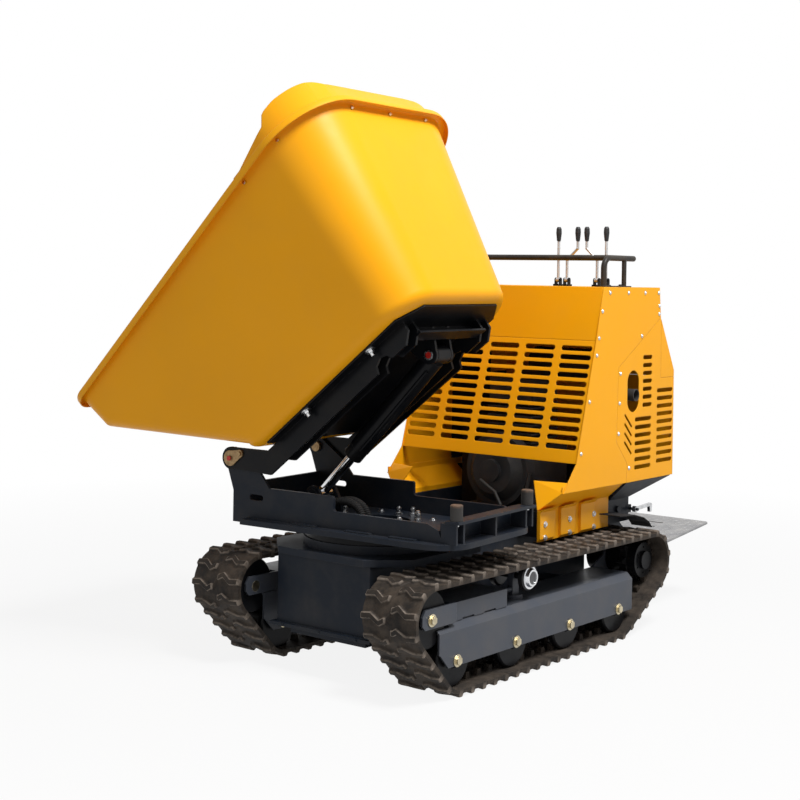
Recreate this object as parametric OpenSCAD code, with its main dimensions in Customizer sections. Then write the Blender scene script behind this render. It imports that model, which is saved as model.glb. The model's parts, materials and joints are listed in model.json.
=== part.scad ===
// Tracked power carrier: a mini dumper on rubber tracks with a hopper that
// swivels on a turntable and tips on a hydraulic cylinder, and a stand-on rear.
// Machine axes: +X its left side, +Y its rear, +Z up, slew axis on x = 0, y = 0.
// All lengths are millimetres and all angles are degrees.

/* [Tracks] */
// Distance between the middles of the two belts
belt_gauge = 815; // [780:1:860]
// Width of a rubber belt
belt_w = 230; // [210:1:240]
// Thickness of the belt without its lugs
belt_band = 14; // [12:1:18]
// Height of the tread lugs
lug_h = 12; // [10:1:16]
// Tread lugs in one column around a belt
lug_count = 55; // [50:1:58]
// Length of a lug's crest along the belt
lug_crest = 14; // [11:1:17]
// Height of the guide horns inside the belt
horn_h = 22; // [16:1:24]
// Gap between the belt and the wheels that it runs on
belt_seat = 0.6; // [0.5:0.1:1]
// Idler centre along the machine
idler_y = -304; // [-312:1:-296]
// Idler centre above the ground
idler_z = 282; // [276:1:288]
// Radius of the belt's inside round the idler
idler_r = 103; // [100:1:105]
// Sprocket centre along the machine
sprocket_y = 1180; // [1165:1:1200]
// Sprocket centre above the ground
sprocket_z = 276; // [270:1:284]
// Radius of the belt's inside round the sprocket
sprocket_r = 102; // [98:1:104]
// Teeth on a sprocket
sprocket_teeth = 10; // [8:1:11]
// First road roller along the machine
roller_y = -160; // [-168:1:-152]
// Distance from one road roller to the next
roller_pitch = 360; // [350:1:364]
// Radius of the belt's inside round a road roller
roller_r = 95; // [90:1:97]
// Carrier roller along the machine
carrier_y = 310; // [280:1:340]
// Radius of the carrier roller
carrier_r = 48; // [42:1:50]
// Radius of the bright cap on the carrier roller's end
cap_r = 36; // [30:1:40]
// Radius of the road roller axles
axle_r = 15; // [12:0.5:16]
// Radius of the idler axles
idler_axle_r = 20; // [16:0.5:22]
// Radius of the final drive spindles
spindle_r = 30; // [26:0.5:34]
// Running clearance of a shaft in its bore
run_fit = 0.06; // [0.03:0.01:0.09]
// Clearance of a bolt in its hole
bolt_fit = 0.15; // [0.1:0.05:0.3]

/* [Track frames] */
// Width of a track frame
frame_w = 185; // [182:1:190]
// Plate of the track frames
frame_t = 8; // [6:1:10]
// Top of the track frames
frame_top = 250; // [244:1:256]
// Bottom edge of the track frames
frame_low = 103; // [98:1:107]
// Front end of the track frames
frame_front = -261; // [-268:1:-254]
// Rear end of the track frames
frame_rear = 1028; // [1015:1:1035]
// Bevel along a track frame's upper outer edge
frame_bevel = 24; // [16:1:28]
// Length of the tensioner box
tension_len = 329; // [320:1:340]
// Height of the tensioner box
tension_h = 64; // [56:1:66]

/* [Chassis] */
// Width of the chassis box
chassis_w = 434; // [420:1:450]
// Front face of the chassis box
chassis_front = -293; // [-300:1:-285]
// Rear end of the chassis box
chassis_rear = 1120; // [1090:1:1140]
// Bottom of the chassis box
chassis_low = 170; // [165:1:175]
// Top of the chassis box
chassis_top = 420; // [415:1:424]
// Plate of the chassis box
chassis_t = 10; // [8:1:12]
// Thickness of the turntable seat plate on the chassis
seat_t = 25; // [20:1:30]
// Width of the turntable seat plate
seat_w = 650; // [630:1:664]
// Front edge of the turntable seat plate
seat_front = -312; // [-316:1:-308]
// Rear edge of the turntable seat plate
seat_rear = 340; // [320:1:350]
// Cut corners of the turntable seat plate
seat_cut = 125; // [110:1:135]
// Thickness of the belly plate
belly_t = 12; // [8:1:14]
// How far the belly plate stands out of the chassis box
belly_lip = 20; // [14:1:24]

/* [Turntable] */
// Swivel of the turntable as shown, from straight ahead
slew_rest = -86; // [-90:1:90]
// Outer radius of the slew ring
ring_r = 268; // [255:1:275]
// Bore of the slew ring's lower race
ring_bore = 200; // [190:1:210]
// Height of each race of the slew ring
ring_h = 30; // [26:1:32]
// Running gap between the two races
ring_gap = 0.5; // [0.4:0.1:0.8]
// Thickness of the turntable plate
deck_t = 20; // [16:1:22]
// Width of the turntable plate
deck_w = 610; // [590:1:616]
// Rear end of the turntable plate
deck_rear = 525; // [515:1:535]
// Corner radius at the rear of the turntable plate
deck_round = 125; // [100:1:140]
// Outer width of the turntable's side walls
wall_w = 524; // [514:1:526]
// Thickness of the turntable's walls
wall_t = 12; // [10:1:13]
// Front end of the turntable
tray_front = -470; // [-474:1:-466]
// Height of the side walls at the front
wall_high = 117; // [110:1:120]
// Height of the side walls at the rear
wall_low = 63; // [56:1:66]
// Where the side walls step down
wall_step = -7; // [-20:1:10]
// Rubber bumper radius
bumper_r = 22; // [18:1:24]
// Distance between the two bumpers
bumper_gauge = 480; // [470:1:500]
// Bumpers along the turntable
bumper_y = 505; // [502:1:508]

/* [Hopper] */
// Tip of the hopper as shown, from lying flat
tip_rest = 39.6; // [0:0.1:60]
// Tip hinge along the turntable
pivot_y = -472; // [-474:1:-470]
// Tip hinge above the ground
pivot_z = 742; // [740:1:746]
// Radius of the tip hinge pins
pivot_r = 20; // [18:0.5:22]
// Hopper floor below the tip hinge
floor_drop = 73; // [72:1:76]
// Front end of the floor, behind the tip hinge
floor_front = 172; // [168:1:178]
// Rear end of the floor, behind the tip hinge
floor_rear = 1060; // [1054:1:1066]
// Width of the floor
floor_w = 732; // [724:1:740]
// Rounding of the floor's edges
floor_round = 42; // [34:1:46]
// Front end of the rim, ahead of the tip hinge
rim_front = 354; // [340:1:366]
// Rear end of the rim, behind the tip hinge
rim_rear = 1211; // [1195:1:1220]
// Height of the rim over the tip hinge at the front
rim_front_z = 541; // [530:1:550]
// Height of the rim over the tip hinge at the rear
rim_rear_z = 695; // [685:1:702]
// Width at the front of the rim
rim_front_w = 956; // [940:1:970]
// Width at the rear of the rim
rim_rear_w = 994; // [980:1:1006]
// Wall of the hopper
hopper_t = 5; // [4:0.5:7]
// Upright corners at the rear of the hopper
rear_round = 250; // [225:1:265]
// Rounding of the two rear corners at the floor
base_round = 150; // [130:1:160]
// Upright corners at the front of the hopper
front_round = 60; // [50:1:70]
// Width of the rolled flange at the front of the rim
flange_w = 20; // [14:1:24]
// Width of the rolled flange at the rear of the rim
flange_rear = 34; // [28:1:38]
// Depth of the rolled flange round the rim
flange_h = 26; // [18:1:30]
// Depth of the upright band under the pouring lip
lip_h = 147; // [120:1:160]
// How far that band leans back towards its foot
lip_back = 22; // [10:1:40]
// Height of the spill guard at the rear
guard_h = 116; // [100:1:124]
// Sheet of the spill guard
guard_t = 4; // [3:0.5:5]
// Length of the spill guard's side strips
guard_len = 405; // [385:1:420]

/* [Hopper sub-frame] */
// Plate of the sub-frame
sub_t = 12; // [10:1:12]
// Thickness of the plate under the hopper's floor
sub_top_t = 8; // [6:1:9]
// Depth of the sub-frame's side plates
sub_h = 78; // [70:1:80]
// Gap between a turntable arm and the hopper's ear
ear_gap = 3; // [2:0.5:4]
// Radius of the ears round the hinge pins
ear_r = 42; // [38:1:44]
// Distance between the outer and inner side plates
sub_pair = 60; // [56:1:62]

/* [Tip cylinder] */
// Foot of the cylinder along the turntable
foot_y = -254; // [-262:1:-246]
// Foot of the cylinder above the ground
foot_z = 601; // [598:1:606]
// Upper pin behind the tip hinge
head_y = 824; // [818:1:830]
// Upper pin below the tip hinge
head_drop = 152; // [148:1:154]
// Radius of the upper pin
head_r = 18; // [16:0.5:20]
// Radius of the barrel
barrel_r = 40; // [36:1:42]
// Radius of the chrome rod
rod_r = 19; // [16:0.5:20]
// Length of the barrel from its pin to its gland
barrel_len = 540; // [530:1:548]
// Width of the eyes at both ends
eye_w = 80; // [70:1:84]

/* [Housing] */
// Width of the engine housing
house_w = 870; // [850:1:880]
// Sheet of the housing
sheet = 3; // [2:0.5:4]
// Top of the console
console_z = 1401; // [1390:1:1410]
// Front edge of the console
console_front = 879; // [872:1:886]
// Rear edge of the console
console_rear = 1337; // [1325:1:1342]
// Crease between the upper panel and the grille, along the machine
crease_y = 832; // [826:1:838]
// Crease above the ground
crease_z = 1187; // [1175:1:1195]
// Lower edge of the grille along the machine
grille_y = 698; // [692:1:704]
// Lower edge of the grille above the ground
grille_z = 710; // [704:1:718]
// Lower front corner of the side panels
cheek_y = 600; // [592:1:608]
// Lower edge of the housing
house_low = 600; // [594:1:606]
// Rear face of the housing
house_rear = 1472; // [1462:1:1480]
// Height where the rear face starts to lean in
knee_z = 1047; // [1040:1:1056]
// Height where the lean ends under the console
neck_z = 1277; // [1268:1:1284]
// Rows of slots in the grille
grille_rows = 12; // [10:1:12]
// Columns of slots in the grille
grille_cols = 5; // [4:1:5]
// Length of a grille slot
slot_len = 143; // [130:1:150]
// Height of a grille slot
slot_h = 21; // [16:1:23]
// Distance between rows of slots
slot_rise = 36.2; // [35:0.1:37]
// Distance between columns of slots
slot_step = 174; // [168:1:176]
// Gap at the seams between panels
seam = 0.8; // [0.5:0.1:1]

/* [Rear and controls] */
// Half width of the engine deck
bed_half = 350; // [344:1:356]
// Height of the engine deck's side rails
bed_h = 100; // [90:1:104]
// Width of the standing platform
step_w = 800; // [780:1:820]
// Length of the standing platform
step_len = 446; // [430:1:452]
// Thickness of the standing platform
step_t = 8; // [6:1:10]
// Platform hinge along the machine
step_y = 1446; // [1442:1:1450]
// Platform hinge above the ground
step_z = 276; // [270:1:282]
// Upward tilt of the platform as it stands
step_tilt = 5.6; // [0:0.1:8]
// Radius of the platform hinge pins
step_pin_r = 9; // [8:0.5:10]
// Height of the handrail over the console
rail_h = 119; // [110:1:126]
// Radius of the handrail tube
rail_r = 12; // [10:0.5:13]
// Half width of the handrail
rail_x = 370; // [362:1:376]
// Front bar of the handrail along the machine
rail_front = 985; // [975:1:990]
// Rear ends of the handrail
rail_rear = 1224; // [1216:1:1230]
// Levers along the machine
lever_y = 1120; // [1114:1:1126]
// Middle of the lever row from the middle of the machine
lever_mid = 183; // [175:1:190]
// Half distance between the outer levers
lever_outer = 117; // [112:1:120]
// Half distance between the inner levers' feet
lever_inner = 74; // [70:1:76]
// Half distance between the inner levers' knobs
lever_knob = 22; // [20:1:26]
// Height of the lever knobs' tops over the console
lever_h = 251; // [240:1:256]
// Radius of the lever rods
lever_r = 6; // [5:0.5:7]
// Radius of the lever knobs
knob_r = 12; // [10:0.5:13]

/* [Hidden] */
$fn = 48;
yellow = "#F0AE1A";
navy = "#262A31";
slate = "#565B63";
black = "#17181B";
rubber = "#2B2623";
steel = "#B9BCBE";
gold = "#B79A4E";
grey = "#9C9EA0";

// Wheels that a belt runs round, in the order that it meets them: [y, z, radius]
roller_z = belt_band + lug_h + roller_r;
roller_last = roller_y + 3 * roller_pitch;
wheels = [
    [idler_y, idler_z, idler_r],
    [roller_y, roller_z, roller_r],
    [roller_last, roller_z, roller_r],
    [sprocket_y, sprocket_z, sprocket_r],
];
function wheel(i) = wheels[(i + 4) % 4];
function span(i) = norm([wheel(i + 1)[0] - wheel(i)[0], wheel(i + 1)[1] - wheel(i)[1]]);
function heading(i) = atan2(wheel(i + 1)[1] - wheel(i)[1], wheel(i + 1)[0] - wheel(i)[0]);
// Direction in which the straight run after wheel i faces outwards
function facing(i) = heading(i) - acos((wheel(i)[2] - wheel(i + 1)[2]) / span(i));
function wrap(i) = (facing(i) - facing(i + 3) + 720) % 360;
function run_len(i) = sqrt(span(i) ^ 2 - (wheel(i)[2] - wheel(i + 1)[2]) ^ 2);
neutral = belt_band / 2;
function arc_len(i) = wrap(i) * PI / 180 * (wheel(i)[2] + neutral);
function stretch(k) = k % 2 == 0 ? arc_len(k / 2) : run_len((k - 1) / 2);
function start_of(k) = k == 0 ? 0 : start_of(k - 1) + stretch(k - 1);
starts = [for (k = [0 : 8]) start_of(k)];
belt_len = starts[8];
pitch = belt_len / lug_count;
function wrapped(s) = s - belt_len * floor(s / belt_len);
function stretch_at(s, k = 0) = s < starts[k + 1] || k == 7 ? k : stretch_at(s, k + 1);
// Point on the belt at distance s along it and a height over its inner face
function belt_at(s, k, h) =
    let (i = floor(k / 2), w = wheel(i), u = s - starts[k])
    let (a = k % 2 == 0 ? facing(i + 3) + u / (w[2] + neutral) * 180 / PI : facing(i))
    let (along = k % 2 == 0 ? 0 : u)
    [w[0] + (w[2] + h) * cos(a) - along * sin(a), w[1] + (w[2] + h) * sin(a) + along * cos(a)];
function belt_point(s, h) = let (t = wrapped(s)) belt_at(t, stretch_at(t), h);
arc_step = 7;
// Loop at a height over the belt's inner face, with points round the wheels and straight runs between
function loop(h) = [
    for (k = [0 : 2 : 6])
        let (steps = ceil(stretch(k) / arc_step))
        for (q = [0 : steps]) belt_at(starts[k] + q / steps * stretch(k), k, h)
];
// Outline of a lug or horn at distance s, from a wide foot sunk in the belt to a narrow crest
function stud(s, foot, crest, low, high) = [
    belt_point(s - foot / 2, low), belt_point(s - crest / 2, high),
    belt_point(s + crest / 2, high), belt_point(s + foot / 2, low)
];
lug_foot = 2 * lug_crest;
horn_foot = 30;
horn_crest = 16;
sunk = 2;

belt_x = belt_gauge / 2;
// Belt's inside over the carrier roller
carry_share = (sprocket_y - carrier_y) / (sprocket_y - idler_y);
carry_z = (1 - carry_share) * (sprocket_z + sprocket_r) + carry_share * (idler_z + idler_r);
carrier_z = carry_z - belt_seat - carrier_r - 0.4;
frame_out = belt_x + frame_w / 2;
frame_in = belt_x - frame_w / 2;
fork_t = 10;
fork_gap = 4;
fork_nose = 50;
tension_out = frame_out - 20;
tension_in = frame_in + 20;
tension_rear = tension_len + idler_y + 140;
tension_front = tension_rear - tension_len;
motor_r = 66;
motor_flange = 78;

seat_top = chassis_top + seat_t;
deck_low = seat_top + 2 * ring_h;
deck_top = deck_low + deck_t;
slew_bore = 130;
wall_in = wall_w / 2 - wall_t;
eye_gap = 3;
arm_r = 40;
floor_z = -floor_drop;
sub_under = floor_z - sub_top_t;
bumper_top = pivot_z + sub_under - 0.5;
bar_top = deck_top + 80;
bar_t = 10;
bar_out = 5;
ear_in = wall_w / 2 + ear_gap;
ear_out = ear_in + sub_t;

rim_run = rim_rear + rim_front;
rim_slope = atan((rim_rear_z - rim_front_z) / rim_run);
rim_len = norm([rim_run, rim_rear_z - rim_front_z]);

// Cylinder as shown: head pin and foot in turntable axes
head_at = [
    pivot_y + head_y * cos(tip_rest) + head_drop * sin(tip_rest),
    pivot_z + head_y * sin(tip_rest) - head_drop * cos(tip_rest)];
foot_at = [foot_y, foot_z];
cyl_len = norm(head_at - foot_at);
cyl_angle = atan2(head_at[1] - foot_at[1], head_at[0] - foot_at[0]);

half = house_w / 2;
bed_low = chassis_top;
bed_top = bed_low + bed_h;
bed_front = 612;
bed_rear = 1250;
bed_t = 10;
crease = [crease_y, crease_z];
grille_low = [grille_y, grille_z];
top_front = [console_front, console_z];
top_rear = [console_rear, console_z];
neck = [console_rear + 13, neck_z];
knee = [house_rear, knee_z];
hood_low = knee_z - 28;
hood_front = neck[0] + 6;
seam_top = [1004, 1073];
seam_mid = [997, 771];
seam_low = [1084, 678];
seam_foot = [1081, house_low];

// Footprint of the machine as shown, whose middle on the ground is the origin
lip_y = -rim_front - flange_w;
lip_reach = pivot_y + lip_y * cos(tip_rest) - rim_front_z * sin(tip_rest);
lip_half = rim_front_w / 2 + flange_w;
box_low_x = lip_reach * sin(-slew_rest) - lip_half * cos(slew_rest);
box_low_y = -lip_half * sin(-slew_rest) + lip_reach * cos(slew_rest);
bar_reach = (deck_rear + bar_out) * sin(-slew_rest) + (bumper_gauge / 2 + 24) * cos(slew_rest);
box_high_x = max(belt_x + belt_w / 2, bar_reach);
box_high_y = step_y + step_len * cos(step_tilt);
box_mid = [(box_low_x + box_high_x) / 2, (box_low_y + box_high_y) / 2];

// Axes and shared shapes
module machine() translate([-box_mid[0], -box_mid[1], 0]) children();
module turntable() machine() rotate([0, 0, slew_rest]) children();
module hopper() turntable() translate([0, pivot_y, pivot_z]) rotate([tip_rest, 0, 0]) children();
module on_side(side) {
    if (side > 0) children();
    else mirror([1, 0, 0]) children();
}
module both_sides() {
    children();
    mirror([1, 0, 0]) children();
}
// Carries a profile drawn in Y and Z from x0 to x1
module across(x0, x1) translate([x0, 0, 0]) rotate([90, 0, 90]) linear_extrude(x1 - x0) children();
// Carries a profile drawn in X and Z from y0 to y1
module along(y0, y1) translate([0, y1, 0]) rotate([90, 0, 0]) linear_extrude(y1 - y0) children();
module bar_x(x0, x1, y, z, r) translate([x0, y, z]) rotate([0, 90, 0]) cylinder(r = r, h = x1 - x0);
module bar_y(y0, y1, x, z, r) translate([x, y1, z]) rotate([90, 0, 0]) cylinder(r = r, h = y1 - y0);
module block(low, high) translate(low) cube(high - low);
// Hexagon head on a washer, standing on the plane z = 0
module bolt_head(r) {
    cylinder(r = 1.45 * r, h = 0.25 * r);
    cylinder(r = r, h = 0.9 * r, $fn = 6);
}
module slot_2d(length, height) {
    square([length - height, height], center = true);
    for (end = [-1, 1]) translate([end * (length - height) / 2, 0]) circle(d = height);
}
// Strip of sheet along a line of points, with its thickness to the left of the line
function left_of(a, b, t) = let (d = (b - a) / norm(b - a)) [-d[1], d[0]] * t;
module strip_2d(a, b, t) polygon([a, b, b + left_of(a, b, t), a + left_of(a, b, t)]);

// Tracks
module lug_row(x0, x1, phase, high) across(x0, x1) for (n = [0 : lug_count - 1])
    polygon(stud((n + phase) * pitch, lug_foot, lug_crest, belt_band - sunk, belt_band + high));
module horn_row(x0, x1) across(x0, x1) for (n = [0 : lug_count - 1])
    polygon(stud(n * pitch, horn_foot, horn_crest, sunk, -horn_h));
// Each half of the belt carries one column of wavy lugs, drawn as strips that shift a little along the belt
lane = belt_w / 2;
channel = 9;
horn_in = 28;
horn_out = 46;
strips = [channel, horn_in, horn_out, 64, 84, lane];
wave = [0, -0.14, 0, 0.14, 0.1];
crown = 0.4;
module track_belt(side) color(rubber) machine() on_side(side) translate([belt_x, 0, 0]) {
    across(-lane, lane) difference() {
        polygon(loop(belt_band));
        polygon(loop(0));
    }
    lug_row(-channel, channel, 0.25, 0.3 * lug_h);
    for (n = [0 : len(wave) - 1]) {
        lug_row(strips[n], strips[n + 1], wave[n], lug_h - crown * (n % 2));
        lug_row(-strips[n + 1], -strips[n], 0.5 - wave[n], lug_h - crown * (n % 2));
    }
    horn_row(horn_in, horn_out);
    horn_row(-horn_out, -horn_in);
}

frame_mid = belt_x;
wheel_half = frame_w / 2 - frame_t - 8;
groove_half = horn_out + 6;
module axle_at(y, z) translate([frame_mid, y, z]) rotate([0, 90, 0]) children();
// Spool with two rims beside the groove that the guide horns pass through
module spool(rim, hub, bore) rotate_extrude() polygon([
    [bore, -wheel_half], [rim - 6, -wheel_half], [rim, -wheel_half + 6], [rim, -groove_half],
    [hub, -groove_half + 4], [hub, groove_half - 4], [rim, groove_half], [rim, wheel_half - 6],
    [rim - 6, wheel_half], [bore + 14, wheel_half], [bore + 12, wheel_half - 5], [bore, wheel_half - 5]]);
module road_roller(side, n) color(black) machine() on_side(side)
    axle_at(roller_y + (n - 1) * roller_pitch, roller_z)
        spool(roller_r - belt_seat, roller_r - horn_h - 8, axle_r + run_fit);
module idler(side) color(black) machine() on_side(side) axle_at(idler_y, idler_z)
    spool(idler_r - belt_seat, idler_r - horn_h - 8, idler_axle_r + run_fit);

tooth_w = 32;
tooth_root = sprocket_r - horn_h - 6;
tooth_tip = sprocket_r - belt_seat - 1.5;
function tooth(n) = [
    for (p = [[0.2, tooth_root], [0.36, tooth_tip - 5], [0.44, tooth_tip],
              [0.56, tooth_tip], [0.64, tooth_tip - 5], [0.8, tooth_root]])
        let (a = (n + p[0]) * 360 / sprocket_teeth) p[1] * [cos(a), sin(a)]
];
module sprocket(side) color(slate) machine() on_side(side) axle_at(sprocket_y, sprocket_z) difference() {
    union() {
        translate([0, 0, -tooth_w / 2]) linear_extrude(tooth_w)
            polygon([for (n = [0 : sprocket_teeth - 1]) each tooth(n)]);
        translate([0, 0, -wheel_half]) cylinder(r = tooth_root - 2, h = 2 * wheel_half - 20);
        translate([0, 0, wheel_half - 20]) cylinder(r = spindle_r + 7, h = 14);
    }
    translate([0, 0, -wheel_half - 1]) cylinder(r = spindle_r + run_fit, h = 2 * wheel_half - 14);
    for (n = [0 : 5]) rotate([0, 0, 60 * n])
        translate([(tooth_root + spindle_r) / 2 + 1, 0, wheel_half - 32]) cylinder(r = 5, h = 20);
}

post_half = 12;
carrier_axle = 12;
tyre_half = (wheel_half - groove_half) / 2;
module carrier_roller(side) color(steel) machine() on_side(side) axle_at(carrier_y, carrier_z) {
    translate([0, 0, -wheel_half]) cylinder(r = carrier_axle, h = 2 * wheel_half);
    for (end = [-1, 1]) translate([0, 0, end * (groove_half + wheel_half) / 2]) rotate_extrude() polygon([
        [carrier_axle - 1, -tyre_half], [carrier_r, -tyre_half], [carrier_r, tyre_half - 6],
        [carrier_r - 6, tyre_half], [carrier_axle - 1, tyre_half]]);
    difference() {
        translate([0, 0, wheel_half]) cylinder(r1 = cap_r, r2 = cap_r - 5, h = 12);
        translate([0, 0, wheel_half + 8]) cylinder(r = cap_r - 12, h = 5);
    }
}

module frame_section() difference() {
    polygon([[frame_in, frame_low], [frame_in, frame_top], [frame_out - frame_bevel, frame_top],
             [frame_out, frame_top - frame_bevel], [frame_out, frame_low]]);
    polygon([[frame_in + frame_t, frame_low - 1], [frame_in + frame_t, frame_top - frame_t],
             [frame_out - frame_bevel - 0.4 * frame_t, frame_top - frame_t],
             [frame_out - frame_t, frame_top - frame_bevel - 0.4 * frame_t],
             [frame_out - frame_t, frame_low - 1]]);
}
beam_ys = [120, 720];
beam_w = 110;
cheek_len = 160;
cheek_h = 110;
// Slant cut off the lower front end
nose = 54;
module track_frame(side) color(slate) machine() on_side(side) difference() {
    union() {
        along(frame_front, frame_rear) frame_section();
        // Inner cheek that carries the final drive behind the channel
        across(frame_in, frame_in + frame_t) union() {
            translate([sprocket_y, sprocket_z]) circle(r = motor_flange);
            polygon([[frame_rear - cheek_len, frame_top - cheek_h], [frame_rear, frame_top - cheek_h],
                     [sprocket_y + 20, sprocket_z - 60], [sprocket_y, sprocket_z + 50],
                     [frame_rear - 20, frame_top], [frame_rear - cheek_len, frame_top]]);
        }
        block([tension_in, tension_front, frame_top], [tension_out, tension_rear, frame_top + tension_h]);
        block([frame_mid - post_half, carrier_y - 20, frame_top],
              [frame_mid + post_half, carrier_y + 20, carrier_z]);
        bar_x(frame_mid - post_half, frame_mid + post_half, carrier_y, carrier_z, 20);
        translate([frame_mid, carrier_y, frame_top]) cylinder(r = 36, h = 14);
        bar_y(tension_rear, carrier_y - 18, frame_mid, frame_top + 34, 10);
    }
    // Slanted front end, and the holes for the axles
    across(frame_in - 1, frame_out + 1) polygon([
        [frame_front - 1, frame_low - 1], [frame_front + nose, frame_low - 1],
        [frame_front + 6, frame_low + nose - 4], [frame_front - 1, frame_low + nose - 2]]);
    for (n = [0 : 3])
        bar_x(frame_in - 1, frame_out + 1, roller_y + n * roller_pitch, roller_z, axle_r + bolt_fit);
    bar_x(frame_in - 1, frame_out + 1, sprocket_y, sprocket_z, spindle_r + bolt_fit);
    bar_x(frame_mid - post_half - 1, frame_mid + post_half + 1, carrier_y, carrier_z,
          carrier_axle + run_fit);
    // Hollow of the tensioner box, open at the front, and the two slots at its foot
    block([tension_in + 8, tension_front - 1, frame_top + 8],
          [tension_out - 8, tension_rear - 10, frame_top + tension_h - 8]);
    for (n = [0, 1]) block([tension_out - 9, tension_front + 60 + 130 * n, frame_top - 1],
                           [tension_out + 1, tension_front + 130 + 130 * n, frame_top + 6]);
    // Room for the idler
    block([frame_mid - wheel_half - 3, frame_front - 1, frame_low + nose],
          [frame_mid + wheel_half + 3, idler_y + idler_r + 12, frame_top + 1]);
}

fork_out = frame_mid + wheel_half + fork_gap;
module idler_forks() color(slate) machine() both_sides() {
    for (x = [frame_mid - wheel_half - fork_gap - fork_t, fork_out]) across(x, x + fork_t) difference() {
        polygon([[idler_y - fork_nose, idler_z + 14], [idler_y - fork_nose + 16, idler_z + 38],
                 [tension_front, idler_z + 38], [tension_front, frame_top + 2],
                 [idler_y - fork_nose + 16, frame_top + 2], [idler_y - fork_nose, idler_z - 14]]);
        translate([idler_y, idler_z]) circle(r = idler_axle_r + bolt_fit);
    }
    // Yoke between the plates, which butts against the tensioner box
    block([frame_mid - wheel_half - fork_gap, tension_front - 26, idler_z - 22],
          [fork_out, tension_front, idler_z + 22]);
}

module track_axles() color(gold) machine() both_sides() {
    for (n = [0 : 3]) {
        bar_x(frame_in - 6, frame_out, roller_y + n * roller_pitch, roller_z, axle_r);
        translate([frame_out, roller_y + n * roller_pitch, roller_z]) rotate([0, 90, 0]) bolt_head(axle_r);
    }
    bar_x(frame_mid - wheel_half - fork_gap - fork_t, fork_out + fork_t, idler_y, idler_z, idler_axle_r);
    translate([fork_out + fork_t, idler_y, idler_z]) rotate([0, 90, 0]) bolt_head(axle_r);
}

motor_in = chassis_w / 2 + 14;
module drive_motors() color(black) machine() both_sides() {
    bar_x(motor_in, frame_in - 14, sprocket_y, sprocket_z, motor_r);
    bar_x(frame_in - 14, frame_in, sprocket_y, sprocket_z, motor_flange);
    bar_x(frame_in, frame_mid + wheel_half - 16, sprocket_y, sprocket_z, spindle_r);
}

// Chassis
module seat_outline() polygon([
    [-seat_w / 2, seat_front + seat_cut], [-seat_w / 2 + seat_cut, seat_front],
    [seat_w / 2 - seat_cut, seat_front], [seat_w / 2, seat_front + seat_cut],
    [seat_w / 2, seat_rear - seat_cut], [seat_w / 2 - seat_cut, seat_rear],
    [-seat_w / 2 + seat_cut, seat_rear], [-seat_w / 2, seat_rear - seat_cut]]);
module chassis_frame() color(navy) machine() {
    difference() {
        block([-chassis_w / 2, chassis_front, chassis_low], [chassis_w / 2, chassis_rear, chassis_top]);
        block([-chassis_w / 2 + chassis_t, chassis_front + chassis_t, chassis_low - 1],
              [chassis_w / 2 - chassis_t, chassis_rear - chassis_t, chassis_top - chassis_t]);
        cylinder(r = slew_bore, h = 2 * chassis_top);
    }
    translate([0, 0, chassis_top]) linear_extrude(seat_t) difference() {
        seat_outline();
        circle(r = slew_bore);
    }
    // Beams out to the track frames
    both_sides() for (y = beam_ys)
        block([chassis_w / 2, y, frame_low + 70], [frame_in, y + beam_w, frame_top - 10]);
    belly_plate();
}
module belly_plate() {
    block([-chassis_w / 2 - belly_lip, chassis_front - belly_lip, chassis_low - belly_t],
          [chassis_w / 2 + belly_lip, chassis_rear, chassis_low]);
    block([-chassis_w / 2 + 40, chassis_front + 30, chassis_low - belly_t - 30],
          [chassis_w / 2 - 40, chassis_rear - 40, chassis_low - belly_t]);
    for (x = [-0.4, 0, 0.4])
        translate([x * chassis_w, chassis_front - belly_lip, chassis_low - belly_t / 2])
            rotate([90, 0, 0]) cylinder(r = 5, h = 4);
}
module slew_ring_base() color(navy) machine() translate([0, 0, seat_top]) difference() {
    cylinder(r = ring_r, h = ring_h, $fn = 96);
    translate([0, 0, -1]) cylinder(r = ring_bore, h = ring_h + 2, $fn = 96);
}

// Turntable
module slew_ring_top() color(black) turntable() translate([0, 0, seat_top + ring_h]) difference() {
    union() {
        translate([0, 0, ring_gap]) cylinder(r = ring_r - 6, h = ring_h - ring_gap, $fn = 96);
        translate([0, 0, 6 - ring_h]) cylinder(r = ring_bore - run_fit, h = ring_h, $fn = 96);
    }
    translate([0, 0, -ring_h]) cylinder(r = slew_bore, h = 3 * ring_h, $fn = 96);
}
// Narrow front stretch of the turntable plate, as wide as its walls
neck_len = 70;
module deck_outline() difference() {
    union() {
        translate([-deck_w / 2, tray_front + neck_len])
            square([deck_w, deck_rear - tray_front - neck_len - deck_round]);
        translate([-deck_w / 2 + deck_round, deck_rear - deck_round - 1])
            square([deck_w - 2 * deck_round, deck_round + 1]);
        for (x = [-1, 1]) translate([x * (deck_w / 2 - deck_round), deck_rear - deck_round])
            circle(r = deck_round);
        translate([-wall_w / 2, tray_front]) square([wall_w, neck_len + 10]);
    }
    circle(r = slew_bore);
}
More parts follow.
